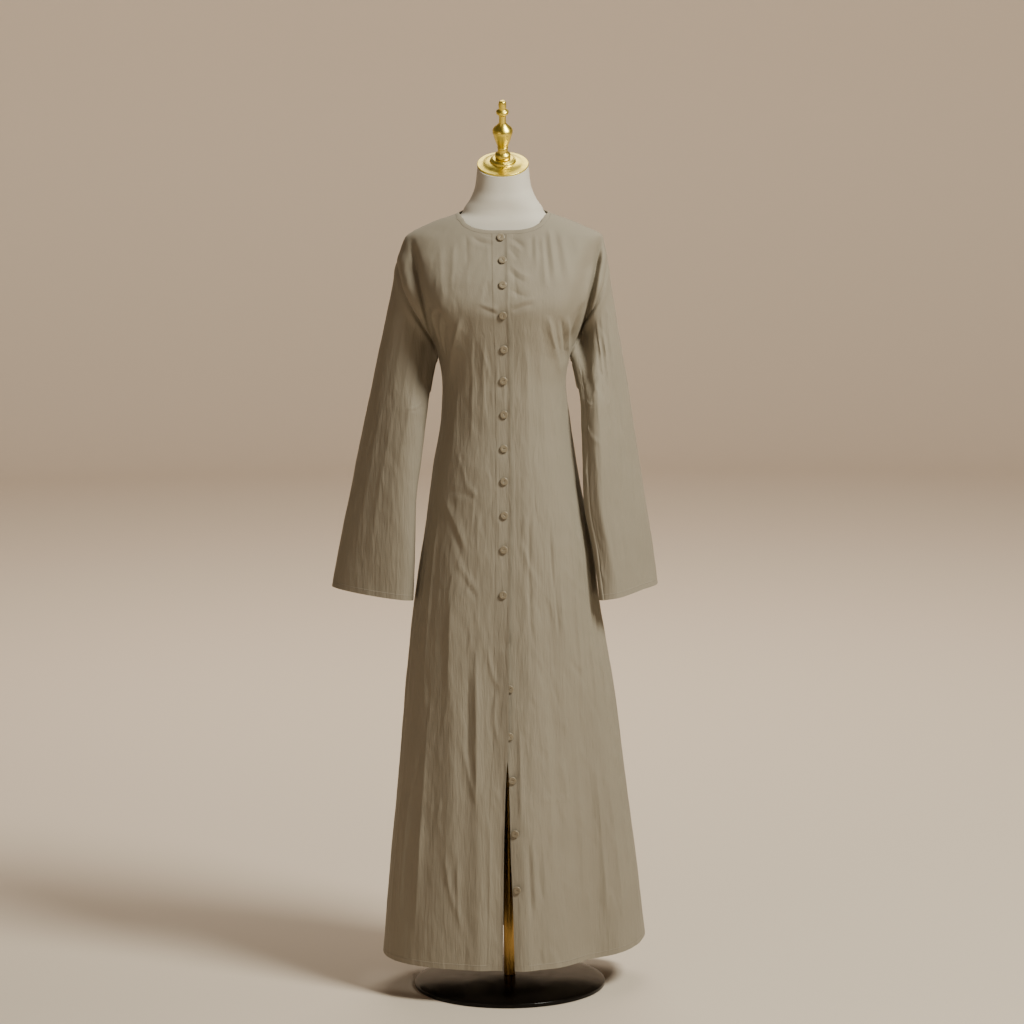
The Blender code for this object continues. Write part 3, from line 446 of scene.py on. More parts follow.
# creases on each face, in millimetres: three points of a bent line as x, z, half width, height
creases = {
    "front": (
        # the chest's edges, from the shoulders to the armpits
        (-164, 1440, -149, 1358, -130, 1290, 8, 4),
        (176, 1446, 156, 1360, 130, 1290, 8, 4),
        # the armpit's pleats on the right
        (-141, 1347, -139, 1308, -122, 1250, 4.2, -4.2),
        (-133, 1342, -133, 1305, -118, 1246, 4, 2.6),
        (-125, 1335, -127, 1301, -114, 1238, 3.8, -3.6),
        (-117, 1328, -121, 1292, -112, 1230, 4, 2.2),
        (-108, 1318, -115, 1280, -108, 1222, 4.2, -2.6),
        (-80, 1326, -94, 1270, -108, 1190, 8, 4),
        # and on the left
        (153, 1347, 136, 1306, 124, 1244, 4.6, -4.6),
        (121, 1324, 121, 1280, 122, 1232, 4.2, 3.4),
        (107, 1322, 114, 1278, 117, 1226, 4, -4),
        (84, 1326, 91, 1276, 112, 1196, 7, 4.4),
        (97, 1316, 103, 1270, 112, 1215, 4, -2.2),
        # gathers at the neckline and pulls from the buttons
        (8, 1468, 24, 1462, 42, 1446, 4.2, -1.5),
        (10, 1456, 24, 1450, 38, 1436, 4, 1.1),
        (10, 1450, 19, 1437, 30, 1426, 3.6, -1.2),
        (9, 1416, 24, 1394, 50, 1386, 4.8, -1.2),
        (12, 1424, 28, 1404, 56, 1394, 5, 1.1),
        (10, 1376, 27, 1364, 50, 1358, 4.8, -1.4),
        (12, 1330, 34, 1340, 60, 1346, 5, -1.4),
        (12, 1338, 36, 1350, 64, 1356, 5.5, 1.2),
        (-10, 1326, -25, 1331, -50, 1342, 4.8, -1.4),
        (-10, 1334, -28, 1340, -56, 1350, 5.5, 1.1),
        (-61, 1478, -46, 1462, -16, 1458, 4.6, -1.6),
        (-52, 1480, -36, 1468, -14, 1465, 4.2, 1.2),
        (-71, 1480, -70, 1449, -68, 1410, 4.6, -1.1),
        (-93, 1476, -96, 1409, -98, 1360, 7, 1.6),
        (-118, 1470, -118, 1400, -112, 1350, 7.5, 1.6),
        (-34, 1480, -30, 1440, -28, 1400, 5, 0.6),
        (60, 1481, 61, 1449, 63, 1400, 5, 1.5),
        (54, 1478, 54, 1450, 55, 1420, 4, -1.2),
        (72, 1482, 76, 1426, 80, 1366, 5.6, 2),
        (79, 1484, 83, 1426, 89, 1370, 4.4, -1.7),
        (84, 1492, 90, 1450, 98, 1380, 5.2, 2.1),
        (96, 1490, 104, 1440, 112, 1380, 5, -1.2),
        (107, 1486, 117, 1426, 130, 1362, 7, 1.9),
        (134, 1478, 146, 1420, 150, 1370, 8, 1.6),
        # the waist
        (-88, 1190, -94, 1120, -104, 1040, 6, 1.8),
        (-60, 1230, -62, 1150, -66, 1060, 5, 1.2),
        (-36, 1300, -40, 1200, -42, 1090, 5, 1.2),
        (40, 1290, 44, 1180, 46, 1060, 5, 1.4),
        (66, 1260, 72, 1160, 78, 1050, 5, 1.4),
        (88, 1180, 96, 1100, 108, 1010, 6, 1.8),
        # the skirt's right half
        (-124, 986, -98, 930, -70, 866, 6, 2.2),
        (-112, 956, -94, 900, -82, 846, 4.8, -1.4),
        (-98, 868, -80, 832, -52, 794, 5.2, 2),
        (-86, 846, -72, 810, -50, 780, 4.4, -1.4),
        (-78, 1014, -65, 992, -50, 980, 4.2, 1.4),
        (-115, 990, -83, 985, -50, 970, 4.2, -1.4),
        (-104, 800, -110, 690, -112, 560, 7, 2.8),
        (-60, 720, -59, 520, -62, 350, 6, 4),
        (-73, 660, -76, 560, -74, 440, 5.2, -2),
        (-90, 520, -74, 444, -60, 390, 5.2, 2),
        (-122, 310, -116, 240, -100, 170, 5.6, 2.4),
        (-94, 300, -98, 210, -90, 130, 5.6, 2.4),
        (-150, 560, -166, 360, -176, 140, 7, 2.4),
        (-196, 420, -206, 270, -216, 110, 7, 2.4),
        (-18, 616, -25, 560, -14, 500, 4.8, 1.8),
        (-34, 700, -30, 650, -12, 610, 4.8, 2),
        (-40, 400, -36, 280, -40, 120, 6, 2),
        # the skirt's left half
        (34, 895, 42, 850, 64, 800, 5, 1.8),
        (44, 960, 44, 830, 46, 700, 4.2, -2),
        (90, 900, 92, 804, 94, 710, 4.8, 2.2),
        (101, 870, 105, 782, 108, 700, 4.4, 2),
        (82, 940, 90, 820, 103, 690, 4, -2.2),
        (22, 566, 24, 440, 21, 330, 6, 3),
        (39, 330, 41, 240, 45, 160, 4.6, -2.6),
        (46, 340, 49, 250, 54, 160, 5, 2.2),
        (65, 320, 60, 240, 71, 190, 4.2, -2),
        (90, 620, 95, 590, 102, 560, 4, -1.4),
        (70, 600, 80, 430, 88, 220, 7, 2.4),
        (124, 560, 136, 390, 146, 150, 7, 2.6),
        (33, 394, 84, 396, 126, 394, 2.6, 1),
    ),
    "back": (
        # soft folds all over
        (-60, 1470, -50, 1400, -46, 1330, 8, 2.4),
        (52, 1472, 46, 1400, 40, 1320, 8, 2.4),
        (-130, 1380, -96, 1332, -60, 1300, 6, 3),
        (126, 1376, 92, 1332, 56, 1304, 6, 3),
        (-120, 1320, -94, 1266, -60, 1216, 5.4, 3),
        (-112, 1296, -84, 1246, -50, 1206, 4.8, -2.4),
        (118, 1322, 92, 1270, 58, 1218, 5.4, 3),
        (110, 1300, 82, 1250, 48, 1204, 4.8, -2.4),
        (-80, 1130, -36, 1114, 10, 1122, 5.6, 2.2),
        (-74, 1118, -32, 1102, 12, 1108, 4.6, -1.8),
        (-20, 1086, 30, 1070, 80, 1084, 5.6, 2.2),
        (-60, 1062, -16, 1048, 40, 1056, 5, 1.8),
        (-110, 900, -122, 660, -134, 380, 8, 3.6),
        (94, 880, 106, 640, 118, 360, 8, 3.6),
        (22, 820, 26, 560, 34, 300, 8, 3.2),
        (-48, 700, -56, 480, -60, 260, 8, 3),
    ),
}
# scattered small creases: face, how many, least and greatest x, least and greatest z, longest length
scattered = (
    ("front", 120, -0.235, -0.015, 0.10, 1.00, 0.10),
    ("front", 150, 0.030, 0.235, 0.10, 1.00, 0.12),
    ("front", 46, -0.120, 0.120, 0.96, 1.30, 0.12),
    ("front", 16, -0.150, 0.150, 1.34, 1.45, 0.08),
    ("back", 150, -0.235, 0.235, 0.10, 1.06, 0.14),
    ("back", 50, -0.150, 0.150, 1.06, 1.44, 0.10),
)
# upright pleats round the sides and behind them: angle and z at the top, angle and z at the bottom,
# half width, height
sidePleats = (
    (50, 0.98, 41, 0.52, 0.0040, 0.0024), (55, 0.96, 46, 0.60, 0.0036, -0.0022),
    (59, 0.99, 51, 0.50, 0.0040, 0.0028), (63, 0.95, 56, 0.62, 0.0036, 0.0022),
    (67, 1.00, 61, 0.48, 0.0042, 0.0030), (71, 0.95, 66, 0.58, 0.0038, -0.0024),
    (75, 0.99, 71, 0.44, 0.0044, 0.0030), (80, 0.94, 77, 0.40, 0.0042, 0.0026),
    (86, 0.97, 84, 0.36, 0.0050, 0.0028), (93, 0.98, 90, 0.50, 0.0060, 0.0026),
    (102, 0.94, 100, 0.36, 0.0066, 0.0028),
    (-56, 0.97, -52, 0.60, 0.0046, 0.0018), (-64, 0.98, -61, 0.48, 0.0046, 0.0020),
    (-72, 0.96, -70, 0.52, 0.0046, 0.0020), (-80, 0.94, -79, 0.38, 0.0054, 0.0022),
    (-94, 0.98, -94, 0.46, 0.0065, 0.0024), (-106, 0.92, -107, 0.40, 0.0070, 0.0024),
    (66, 0.56, 64, 0.12, 0.0062, 0.0030), (74, 0.60, 73, 0.09, 0.0066, 0.0034),
    (46, 0.50, 44, 0.12, 0.0060, 0.0026), (55, 0.44, 54, 0.10, 0.0058, 0.0026),
    (36, 0.44, 34, 0.10, 0.0060, 0.0022), (-46, 0.40, -46, 0.10, 0.0066, 0.0022),
    (-58, 0.44, -58, 0.12, 0.0060, 0.0020), (-68, 0.46, -69, 0.10, 0.0066, 0.0024),
    (90, 1.24, 90, 0.05, 0.0026, -0.0014), (-90, 1.24, -90, 0.05, 0.0026, -0.0014),
)


def faceShare(facing):
    # 1 on a face that looks ahead, fading to 0 at its sides
    return smoothStep(facing / robe["faceFade"])


def robeSizes(side, front, z):
    # half width of the right or left half, and depth of the front or back, read at height z
    width = np.where(side, readTable(sections, "z", "right", z), readTable(sections, "z", "left", z))
    depth = np.where(front, readTable(sections, "z", "front", z), readTable(sections, "z", "back", z))
    return width, depth


def smoothRobe(angle, z):
    # a rounded section at height z: x = width times r sin, y = depth times r cos
    turn = np.radians(angle)
    side, front = np.sin(turn), np.cos(turn)
    width, depth = robeSizes(side > 0, front > 0, z)
    reach = roundReach(side, front, robe["roundness"])
    return np.stack([width * reach * side, -depth * reach * front, z + 0.0 * angle], axis=-1)


def angleAtX(x, z):
    # the angle at which the front's section at height z has this x
    width, _ = robeSizes(x > 0, True, z)
    share = x / width
    n = robe["roundness"]
    return np.degrees(np.arctan2(share, (1.0 - np.abs(share) ** n) ** (1.0 / n)))


def foldDepth(point, angle):
    # large folds: a bell across a straight line, rising or falling along it
    facing = np.cos(np.radians(angle))
    moved = np.zeros_like(facing)
    for face, seen in (("front", facing), ("back", -facing)):
        for row in largeFolds[face]:
            xTop, zTop, xLow, zLow, halfWidth, heightTop, heightLow = np.array(row) / 1000.0
            share = (zTop - point[..., 2]) / (zTop - zLow)
            centre = xTop + (xLow - xTop) * share
            height = heightTop + (heightLow - heightTop) * np.clip(share, 0.0, 1.0)
            bell = np.exp(-(((point[..., 0] - centre) / halfWidth) ** 2))
            moved += height * fadeEnds(share, robe["foldFade"], robe["foldFade"]) * bell * faceShare(seen)
    return moved


def bentLine(x0, z0, x1, z1, x2, z2, count=12):
    # a parabola through three points
    t = np.linspace(0.0, 1.0, count)[:, None]
    ends = (1 - t) * (1 - 2 * t) * np.array([x0, z0]) + t * (2 * t - 1) * np.array([x2, z2])
    return ends + 4 * t * (1 - t) * np.array([x1, z1])


def crest(q, fall=1.8, tip=0.05, tipRoot=0.2236, moat=2.2):
    # a crease's section: e^(-fall (root(q^2 + tip) - root tip)) - 0.2 e^(-(q - moat)^2), with q
    # the distance over the half width, so it has a rounded crest and a shallow trough beside it
    return np.exp(-fall * (np.sqrt(q * q + tip) - tipRoot)) - 0.2 * np.exp(-((np.abs(q) - moat) ** 2))


def addRidge(total, x, z, share, line, halfWidth, height, fade=robe["creaseFade"]):
    # height times the crest across the nearest point of a line; it fades at both ends
    reach = 4.4 * halfWidth    # past this the crest is nothing
    low, high = line.min(axis=0) - reach, line.max(axis=0) + reach
    near = (share > 0) & (x > low[0]) & (x < high[0]) & (z > low[1]) & (z < high[1])
    if not near.any():
        return
    px, pz = x[near][:, None], z[near][:, None]
    steps = np.diff(line, axis=0)
    fromX, fromZ = px - line[:-1, 0], pz - line[:-1, 1]
    t = np.clip((fromX * steps[:, 0] + fromZ * steps[:, 1]) / np.sum(steps * steps, axis=1), 0.0, 1.0)
    gaps = np.hypot(fromX - t * steps[:, 0], fromZ - t * steps[:, 1])
    closest = np.argmin(gaps, axis=1)
    picked = np.arange(len(closest))
    along = (closest + t[picked, closest]) / len(steps)
    ends = fadeEnds(along, fade, fade) if fade else 1.0
    total[near] += height * ends * crest(gaps[picked, closest] / halfWidth) * share[near]


def scatterCreases():
    # short, nearly upright creases, uneven in place, length, width and height, ridges and troughs
    dice = np.random.default_rng(7)
    lines = []
    for face, count, xLow, xHigh, zLow, zHigh, longest in scattered:
        for _ in range(count):
            x, z = dice.uniform(xLow, xHigh), dice.uniform(zLow, zHigh)
            length = longest * dice.uniform(0.25, 1.0) ** 1.3
            lean = math.radians(dice.normal(3.0, 13.0)) + 0.16 * x / 0.2 * (z < 1.0)
            bow = dice.normal(0.0, 0.06) * length
            end = x + length * math.sin(lean), z - length * math.cos(lean)
            middle = 0.5 * (x + end[0]) + bow * math.cos(lean), 0.5 * (z + end[1]) + bow * math.sin(lean)
            height = dice.choice([1.0, 1.0, -1.0]) * dice.uniform(0.0003, 0.0009)
            lines.append((face, bentLine(x, z, *middle, *end, 6), dice.uniform(0.0028, 0.0050), height))
    return lines


def seamLines():
    # the armholes' lines on both faces, each a shallow trough
    lines = []
    for side in (-1, 1):
        for face in ("front", "back"):
            angle, z = armhole(side, face == "front", 26)
            lines.append((face, smoothRobe(angle, z)[:, ::2], robe["seamDipWidth"], robe["seamDip"]))
    return lines


def creaseHeight(point, angle):
    # the creases, the armholes' troughs and a round dip under each button
    facing = np.cos(np.radians(angle))
    x, z = point[..., 0], point[..., 2]
    shares = {"front": faceShare(facing), "back": faceShare(-facing)}
    total = np.zeros_like(facing)
    for face, line, halfWidth, height in creaseLines:
        addRidge(total, x, z, shares[face], line, halfWidth, height)
    for face, line, halfWidth, height in armholeSeams:
        addRidge(total, x, z, shares[face], line, halfWidth, height, fade=0)
    for buttonZ, buttonX, _ in buttonPlaces:
        away = ((x - buttonX) ** 2 + (z - buttonZ) ** 2) / robe["buttonDip"] ** 2
        total -= robe["dipDepth"] * np.exp(-away) * shares["front"]
    return total


def pleatHeight(point, angle):
    # upright pleats: a crest across a line in angle and height, its width kept in metres
    whole = (angle + 180.0) % 360.0 - 180.0
    z = point[..., 2]
    girth = np.hypot(point[..., 0], point[..., 1])
    total = np.zeros_like(z)
    for angleTop, zTop, angleLow, zLow, halfWidth, height in sidePleats:
        share = (zTop - z) / (zTop - zLow)
        line = angleTop + (angleLow - angleTop) * share
        q = np.radians(whole - line) * girth / halfWidth
        total += height * fadeEnds(share, 0.3, 0.35) * crest(q, 1.6, 0.06, 0.245, 2.3)
    return total


def crumple(point):
    # soft unevenness of hanging cloth: two products of crossing sines, one bent by the others
    x, y, z = point[..., 0], point[..., 1], point[..., 2]
    bent = z + 0.018 * np.sin(31.0 * x + 17.0 * y) + 0.012 * np.sin(53.0 * x - 41.0 * y + 9.0 * z)
    wide = np.sin(34.0 * bent + 46.0 * x) * np.sin(71.0 * x + 63.0 * y + 7.0 * bent)
    fine = np.sin(97.0 * bent - 83.0 * x + 61.0 * y) * np.sin(157.0 * x - 139.0 * y + 23.0 * z)
    return 0.00040 * wide + 0.00018 * fine


def outwardWay(point, angle):
    # level and outwards on the body, turning up over the shoulders
    turn = np.radians(angle)
    level = unitVectors(np.stack([np.sin(turn), -robe["tiltFlat"] * np.cos(turn), 0.0 * turn], axis=-1))
    rise = smoothStep((point[..., 2] - robe["tiltFrom"]) / robe["tiltOver"])
    tilt = math.radians(robe["shoulderTilt"]) * rise
    return np.concatenate([level[..., :2] * np.cos(tilt)[..., None], np.sin(tilt)[..., None]], axis=-1)


def robeSurface(angle, z, panel):
    # the outer face of a panel: the smooth robe, its folds, its creases and its place in the closure
    angle, z = np.broadcast_arrays(np.asarray(angle, float), np.asarray(z, float))
    point = smoothRobe(angle, z)
    base = point.copy()
    turn = np.radians(angle)
    point[..., 1] -= np.sign(np.cos(turn)) * foldDepth(base, angle)
    point[..., 1] += readTable(sections, "z", "swept", z) * np.maximum(np.sin(turn), 0.0) ** 2
    belowNeck = neckEdge((angle + 180.0) % 360.0 - 180.0, True) - z
    height = creaseHeight(base, angle) + pleatHeight(base, angle) + crumple(base)
    point += (height * smoothStep(belowNeck / robe["calmBelowNeck"]))[..., None] * outwardWay(base, angle)
    inFront = faceShare(np.cos(turn))
    if panel == "under":
        overlap = robe["overlapEnd"] - robe["overlapStart"]
        hidden = 1.0 - smoothStep((base[..., 0] - robe["overlapStart"]) / overlap)
        point[..., 1] += (robe["wall"] + robe["underGap"]) * hidden * inFront
    if panel == "upper":
        edge = readTable(closure, "z", "upper", z)
        near = smoothStep(1.0 - (edge - base[..., 0]) / robe["liftWidth"])
        point[..., 1] -= readTable(closure, "z", "lift", z) * near * inFront
    return point


def robeNormal(angle, z, panel):
    # outwards from the outer face, from small steps round and up it
    turn, rise = 0.4, 0.0015
    across = robeSurface(angle + turn, z, panel) - robeSurface(angle - turn, z, panel)
    upward = robeSurface(angle, z + rise, panel) - robeSurface(angle, z - rise, panel)
    return unitVectors(np.cross(across, upward))


def spread(angle, z, count):
    # a curve on the smooth robe, cut into equal lengths
    points = smoothRobe(angle, z)
    lengths = np.concatenate([[0.0], np.cumsum(np.linalg.norm(np.diff(points, axis=0), axis=1))])
    places = np.linspace(0.0, lengths[-1], count + 1)
    return np.interp(places, lengths, angle), np.interp(places, lengths, z)


def joined(*curves):
    # curves end to end, each joint's point kept once
    angles = [curves[0][0]] + [curve[0][1:] for curve in curves[1:]]
    heights = [curves[0][1]] + [curve[1][1:] for curve in curves[1:]]
    return np.concatenate(angles), np.concatenate(heights)


def neckEdge(angle, drop):
    # the neckline's height, or that of the seam under its binding
    height = readTable(neckline, "angle", "z", np.abs(angle))
    return height - (readTable(neckline, "angle", "drop", np.abs(angle)) if drop else 0.0)


def armhole(side, front, count):
    # one half of an armhole, from the underarm up to the shoulder
    steps = np.linspace(0.0, 7.0, 400)
    angle = readTable(armholeLine, "step", "angle", steps)
    angle = angle if front else 180.0 - angle
    return spread(side * angle, readTable(armholeLine, "step", "z", steps), count)


def sideCurve(side, front):
    # a panel's side: straight up from the hem, then round the armhole
    low = readTable(hem, "angle", "z", np.array(side * 90.0))
    count = robe["sideRows"] * robe["detail"]
    heights = np.linspace(low, armholeLine["z"][0], count + 1)
    lower = np.full(count + 1, side * 90.0), heights
    return joined(lower, armhole(side, front, robe["armholeRows"] * robe["detail"]))


def edgeAngle(column):
    # the angle of an edge of the closure at the neck
    top = neckEdge(0.0, True)
    return float(angleAtX(readTable(closure, "z", column, top), top))


def neckCurve(start, end, count):
    # the neckline's seam between two angles
    angles = np.linspace(start, end, 400)
    return spread(angles, neckEdge(np.where(angles > 180.0, angles - 360.0, angles), True), count)


def shoulderCurve(side, fine):
    # the shoulder, from the neck down to the top of the armhole
    heights = np.linspace(neckEdge(90.0, True), armholeLine["z"][-1], 200)
    return spread(np.full(200, side * 90.0), heights, robe["shoulderColumns"] * fine)


def hemCurve(start, end, count):
    # the hem between two angles
    angles = np.linspace(start, end, 600)
    return spread(angles, readTable(hem, "angle", "z", (angles + 180.0) % 360.0 - 180.0), count)


def fillBetween(bottom, top, left, right):
    # straight rows from side to side, plus the hem's curve fading up and the shoulders' fading down
    u = np.linspace(0.0, 1.0, len(bottom[0]))
    row = np.arange(len(left[0]))[:, None] / robe["detail"]
    lowShare = np.clip(1.0 - row / robe["sideRows"], 0.0, 1.0)
    highShare = np.clip((row - robe["sideRows"]) / robe["armholeRows"], 0.0, 1.0) ** 2
    grid = []
    for low, high, start, end in zip(bottom, top, left, right):
        lowBulge = low - (1.0 - u) * low[0] - u * low[-1]
        highBulge = high - (1.0 - u) * high[0] - u * high[-1]
        between = (1.0 - u) * start[:, None] + u * end[:, None]
        grid.append(between + lowShare * lowBulge + highShare * highBulge)
    return grid


def frontGrid(side, column):
    # angle and height of a front's grid, from its edge of the closure round to its side
    heights = sideCurve(side, True)[1]
    topZ = neckEdge(0.0, True)
    low = readTable(hem, "angle", "z", np.array(0.0))
    edgeZ = low + (topZ - low) * (heights - heights[0]) / (armholeLine["z"][-1] - heights[0])
    edge = angleAtX(readTable(closure, "z", column, edgeZ), edgeZ), edgeZ
    neckCount = robe["frontNeckColumns"] * robe["across"]
    shoulder = shoulderCurve(side, robe["across"])
    top = joined(neckCurve(edgeAngle(column), side * 90.0, neckCount), shoulder)
    bottom = hemCurve(edge[0][0], side * 90.0, neckCount + robe["shoulderColumns"] * robe["across"])
    return fillBetween(bottom, top, edge, sideCurve(side, True))


def backGrid():
    # angle and height of the back's grid, from the left side round to the right
    fine = robe["acrossBack"]
    neckCount = robe["backNeckColumns"] * fine
    rightShoulder = tuple(v[::-1] for v in shoulderCurve(1, fine))
    angles, heights = shoulderCurve(-1, fine)
    top = joined(rightShoulder, neckCurve(90.0, 270.0, neckCount), (angles + 360.0, heights))
    bottom = hemCurve(90.0, 270.0, neckCount + 2 * robe["shoulderColumns"] * fine)
    angles, heights = sideCurve(-1, False)
    return fillBetween(bottom, top, sideCurve(1, False), (angles + 360.0, heights))


def seamInset(outer, normal, seams):
    # half the seam gap, square to the border and towards the piece
    shift = np.zeros_like(outer)
    everything = slice(None)
    borders = {"low": (0, 1), "high": (-1, -2), "start": ((everything, 0), (everything, 1)),
               "end": ((everything, -1), (everything, -2))}
    for seam in seams:
        border, inside = borders[seam]
        across = unitVectors(np.cross(normal[border], np.gradient(outer[border], axis=0)))
        toward = np.sign(np.sum(across * (outer[inside] - outer[border])))
        shift[border] += 0.5 * robe["seamGap"] * toward * across
    return shift


def lengthAlong(points, axis):
    # each point's distance along its column (axis 0) or its row (axis 1)
    steps = np.linalg.norm(np.diff(points, axis=axis), axis=-1)
    start = np.zeros_like(steps[:1] if axis == 0 else steps[:, :1])
    return np.concatenate([start, np.cumsum(steps, axis=axis)], axis=axis)


def clothArea(points):
    # area of a grid of points, as two triangles a cell
    a, b, c, d = points[:-1, :-1], points[:-1, 1:], points[1:, 1:], points[1:, :-1]
    one = np.linalg.norm(np.cross(b - a, c - a), axis=-1).sum()
    two = np.linalg.norm(np.cross(c - a, d - a), axis=-1).sum()
    return 0.5 * float(one + two)


def dressPiece(piece, node, flat, area):
    # what stands for which solid, and the size that its cloth was cut to
    print(piece.name, "cloth area", round(area, 4), "flat", flat)
    standFor(piece, node)
    area = min(area, robe["maxFill"] * flat[0] * flat[1])


def hemEdges(fromHem, along):
    # a turned hem's attributes: the share of its depth, and where its stitches run
    return {"turnedEdge": fromHem / robe["hemDepth"], "stitchRun": along,
            "stitchGap": fromHem - robe["hemDepth"] + robe["stitchIn"]}


def makePanel(name, node, grid, panel, seams, flat):
    # a wall under the outer face, with turned hems and, in front, a facing along the closure
    angle, z = grid
    if panel == "upper":
        angle, z = angle[:, ::-1], z[:, ::-1]
    outer = robeSurface(angle, z, panel)
    normal = robeNormal(angle, z, panel)
    fromHem, across = lengthAlong(outer, 0), lengthAlong(outer, 1)
    edges = hemEdges(fromHem, across)
    if panel != "back":
        fromEdge = across if panel == "under" else across[:, -1:] - across
        facingGap = fromEdge - robe["facingDepth"] + robe["stitchIn"]
        nearer = np.abs(facingGap) < np.abs(edges["stitchGap"])
        edges = {"turnedEdge": np.minimum(edges["turnedEdge"], fromEdge / robe["facingDepth"]),
                 "stitchGap": np.where(nearer, facingGap, edges["stitchGap"]),
                 "stitchRun": np.where(nearer, fromHem, across)}
    if panel == "upper":
        curl = robe["edgeCurl"] * np.exp(-((fromEdge / robe["curlWidth"]) ** 2))
        outer = outer + curl[..., None] * normal
    shift = seamInset(outer, normal, seams)
    piece = wallPiece(name, outer + shift, outer - robe["wall"] * normal + shift, crepe, edges=edges)
    dressPiece(piece, node, flat, clothArea(outer))


armholeSeams = seamLines()
creaseLines = [(face, bentLine(*row[:6]), row[6], row[7])
               for face in creases for row in np.array(creases[face]) / 1000.0] + scatterCreases()
makePanel("rightFront", "front_right", frontGrid(-1, "upper"), "upper", ("high", "start"), (0.46, 1.47))
makePanel("leftFront", "front_left", frontGrid(1, "under"), "under", ("high", "end"), (0.50, 1.47))
makePanel("backPanel", "back", backGrid(), "back", ("high", "start", "end"), (0.80, 1.49))
print("body panels made")


binding = {
    "flat": (0.010, 0.50), "rows": 9, "step": 0.0006, "edgePower": 4, "leastRound": 0.05,
    "thinAt": 150.0, "thinOver": 25.0,    # it is flat within this angle of the closure
    "closeFrom": 0.55, "closeBy": 0.6,    # the share of its height where its top edge closes in
}


def makeBinding():
    # the neck edge, carried along the neckline: a rounded strip, thickest along its middle
    fine = robe["across"]
    under = neckCurve(edgeAngle("under"), 90.0, robe["frontNeckColumns"] * fine)
    behind = neckCurve(90.0, 270.0, robe["backNeckColumns"] * fine)
    upper = neckCurve(270.0, 360.0 + edgeAngle("upper"), robe["frontNeckColumns"] * fine)
    angles, low = joined(under, behind, upper)
    high = neckEdge(np.where(angles > 180.0, 360.0 - angles, angles), False)
    rows = np.linspace(0.0, 1.0, binding["rows"])[:, None]
    z = low[None] + rows * (high - low)[None]
    angle = np.repeat(angles[None], binding["rows"], axis=0)

    def surface(rise):
        # the robe's outer face, carried up by rise
        whole = (angle + 180.0) % 360.0 - 180.0
        over = robeSurface(whole, z + rise, "upper")
        below = robeSurface(whole, z + rise, "under")
        return np.where((angle < 180.0)[..., None], below, over)

    outer = surface(0.0)
    upward = surface(binding["step"]) - surface(-binding["step"])
    normal = unitVectors(np.cross(np.gradient(outer, axis=1), upward))
    shift = seamInset(outer, normal, ("low",))
    thin = smoothStep((np.abs(angles - 180.0) - binding["thinAt"]) / binding["thinOver"])[None, :, None]
    swell = 0.5 * (robe["bindingWall"] - robe["wall"]) * (1.0 - thin)
    bulge = np.clip(1.0 - (2.0 * rows - 1.0) ** binding["edgePower"], binding["leastRound"], 1.0)
    thick = swell * np.sqrt(bulge)[..., None]
    top = smoothStep((rows - binding["closeFrom"]) / (1.0 - binding["closeFrom"]))[..., None]
    closing = 0.5 * robe["wall"] * top * binding["closeBy"] * normal
    outside = outer + thick * normal - closing
    inside = outer - (robe["wall"] + thick) * normal + closing
    piece = wallPiece("neckBinding", outside + shift, inside + shift, crepe)
    dressPiece(piece, "neck_binding", binding["flat"], clothArea(outside))


makeBinding()


# sleeves

sleeve = {
    "roundness": 2.2, "flat": (0.43, 0.68), "capRows": 46, "lowRows": 124, "columns": 7,
    "pull": 0.060, "hang": 0.085, "flow": 0.6,    # how the cap leaves the seam and meets the tube
    "puff": 0.0016, "frontPuff": {"left": 0.003, "right": 0.005},
    "puffTurn": 95.0, "puffTurnWidth": 38.0, "puffAt": 0.06, "puffWidth": 0.035,
    "calmStart": 0.02, "foldFade": 0.25, "alongSeam": 0.3,
}
sleeveRings = {
    "left": {
        "row": (0, 1, 2, 3, 4),
        "outerX": (-0.2640, -0.2820, -0.3015, -0.3218, -0.3405),
        "outerZ": (1.1500, 1.0700, 0.9750, 0.8830, 0.7895),
        "innerX": (-0.1495, -0.1590, -0.1718, -0.1752, -0.1790),
        "innerZ": (1.1280, 1.0520, 0.9570, 0.8660, 0.7712),
        "middleY": (-0.004, -0.006, -0.008, -0.008, -0.008),
        "halfDepth": (0.046, 0.046, 0.045, 0.044, 0.043),
        "turn": (0.030, 0.034, 0.036, 0.037, 0.037),
    },
    "right": {
        "row": (0, 1, 2, 3, 4),
        "outerX": (0.2420, 0.2540, 0.2685, 0.2830, 0.2960),
        "outerZ": (1.1500, 1.0700, 0.9750, 0.8830, 0.7870),
        "innerX": (0.1445, 0.1462, 0.1490, 0.1650, 0.1780),
        "innerZ": (1.1380, 1.0580, 0.9620, 0.8680, 0.7720),
        "middleY": (-0.008, -0.012, -0.014, -0.014, -0.014),
        "halfDepth": (0.050, 0.050, 0.049, 0.046, 0.042),
        "turn": (0.036, 0.044, 0.050, 0.056, 0.062),
    },
}
# wide folds: turn round the ring (0 outer edge, 90 front, 180 inner edge), first and last share of
# the length, half width in degrees, height
sleeveFolds = {
    "left": (
        (142, 0.08, 0.90, 24, -0.005),
        (250, 0.30, 1.20, 24, -0.006),
    ),
    "right": (
        (148, 0.12, 1.20, 24, -0.009),
        (112, 0.08, 1.20, 16, 0.006),
        (60, 0.25, 1.20, 20, -0.005),
        (262, 0.30, 1.20, 24, -0.006),
    ),
}
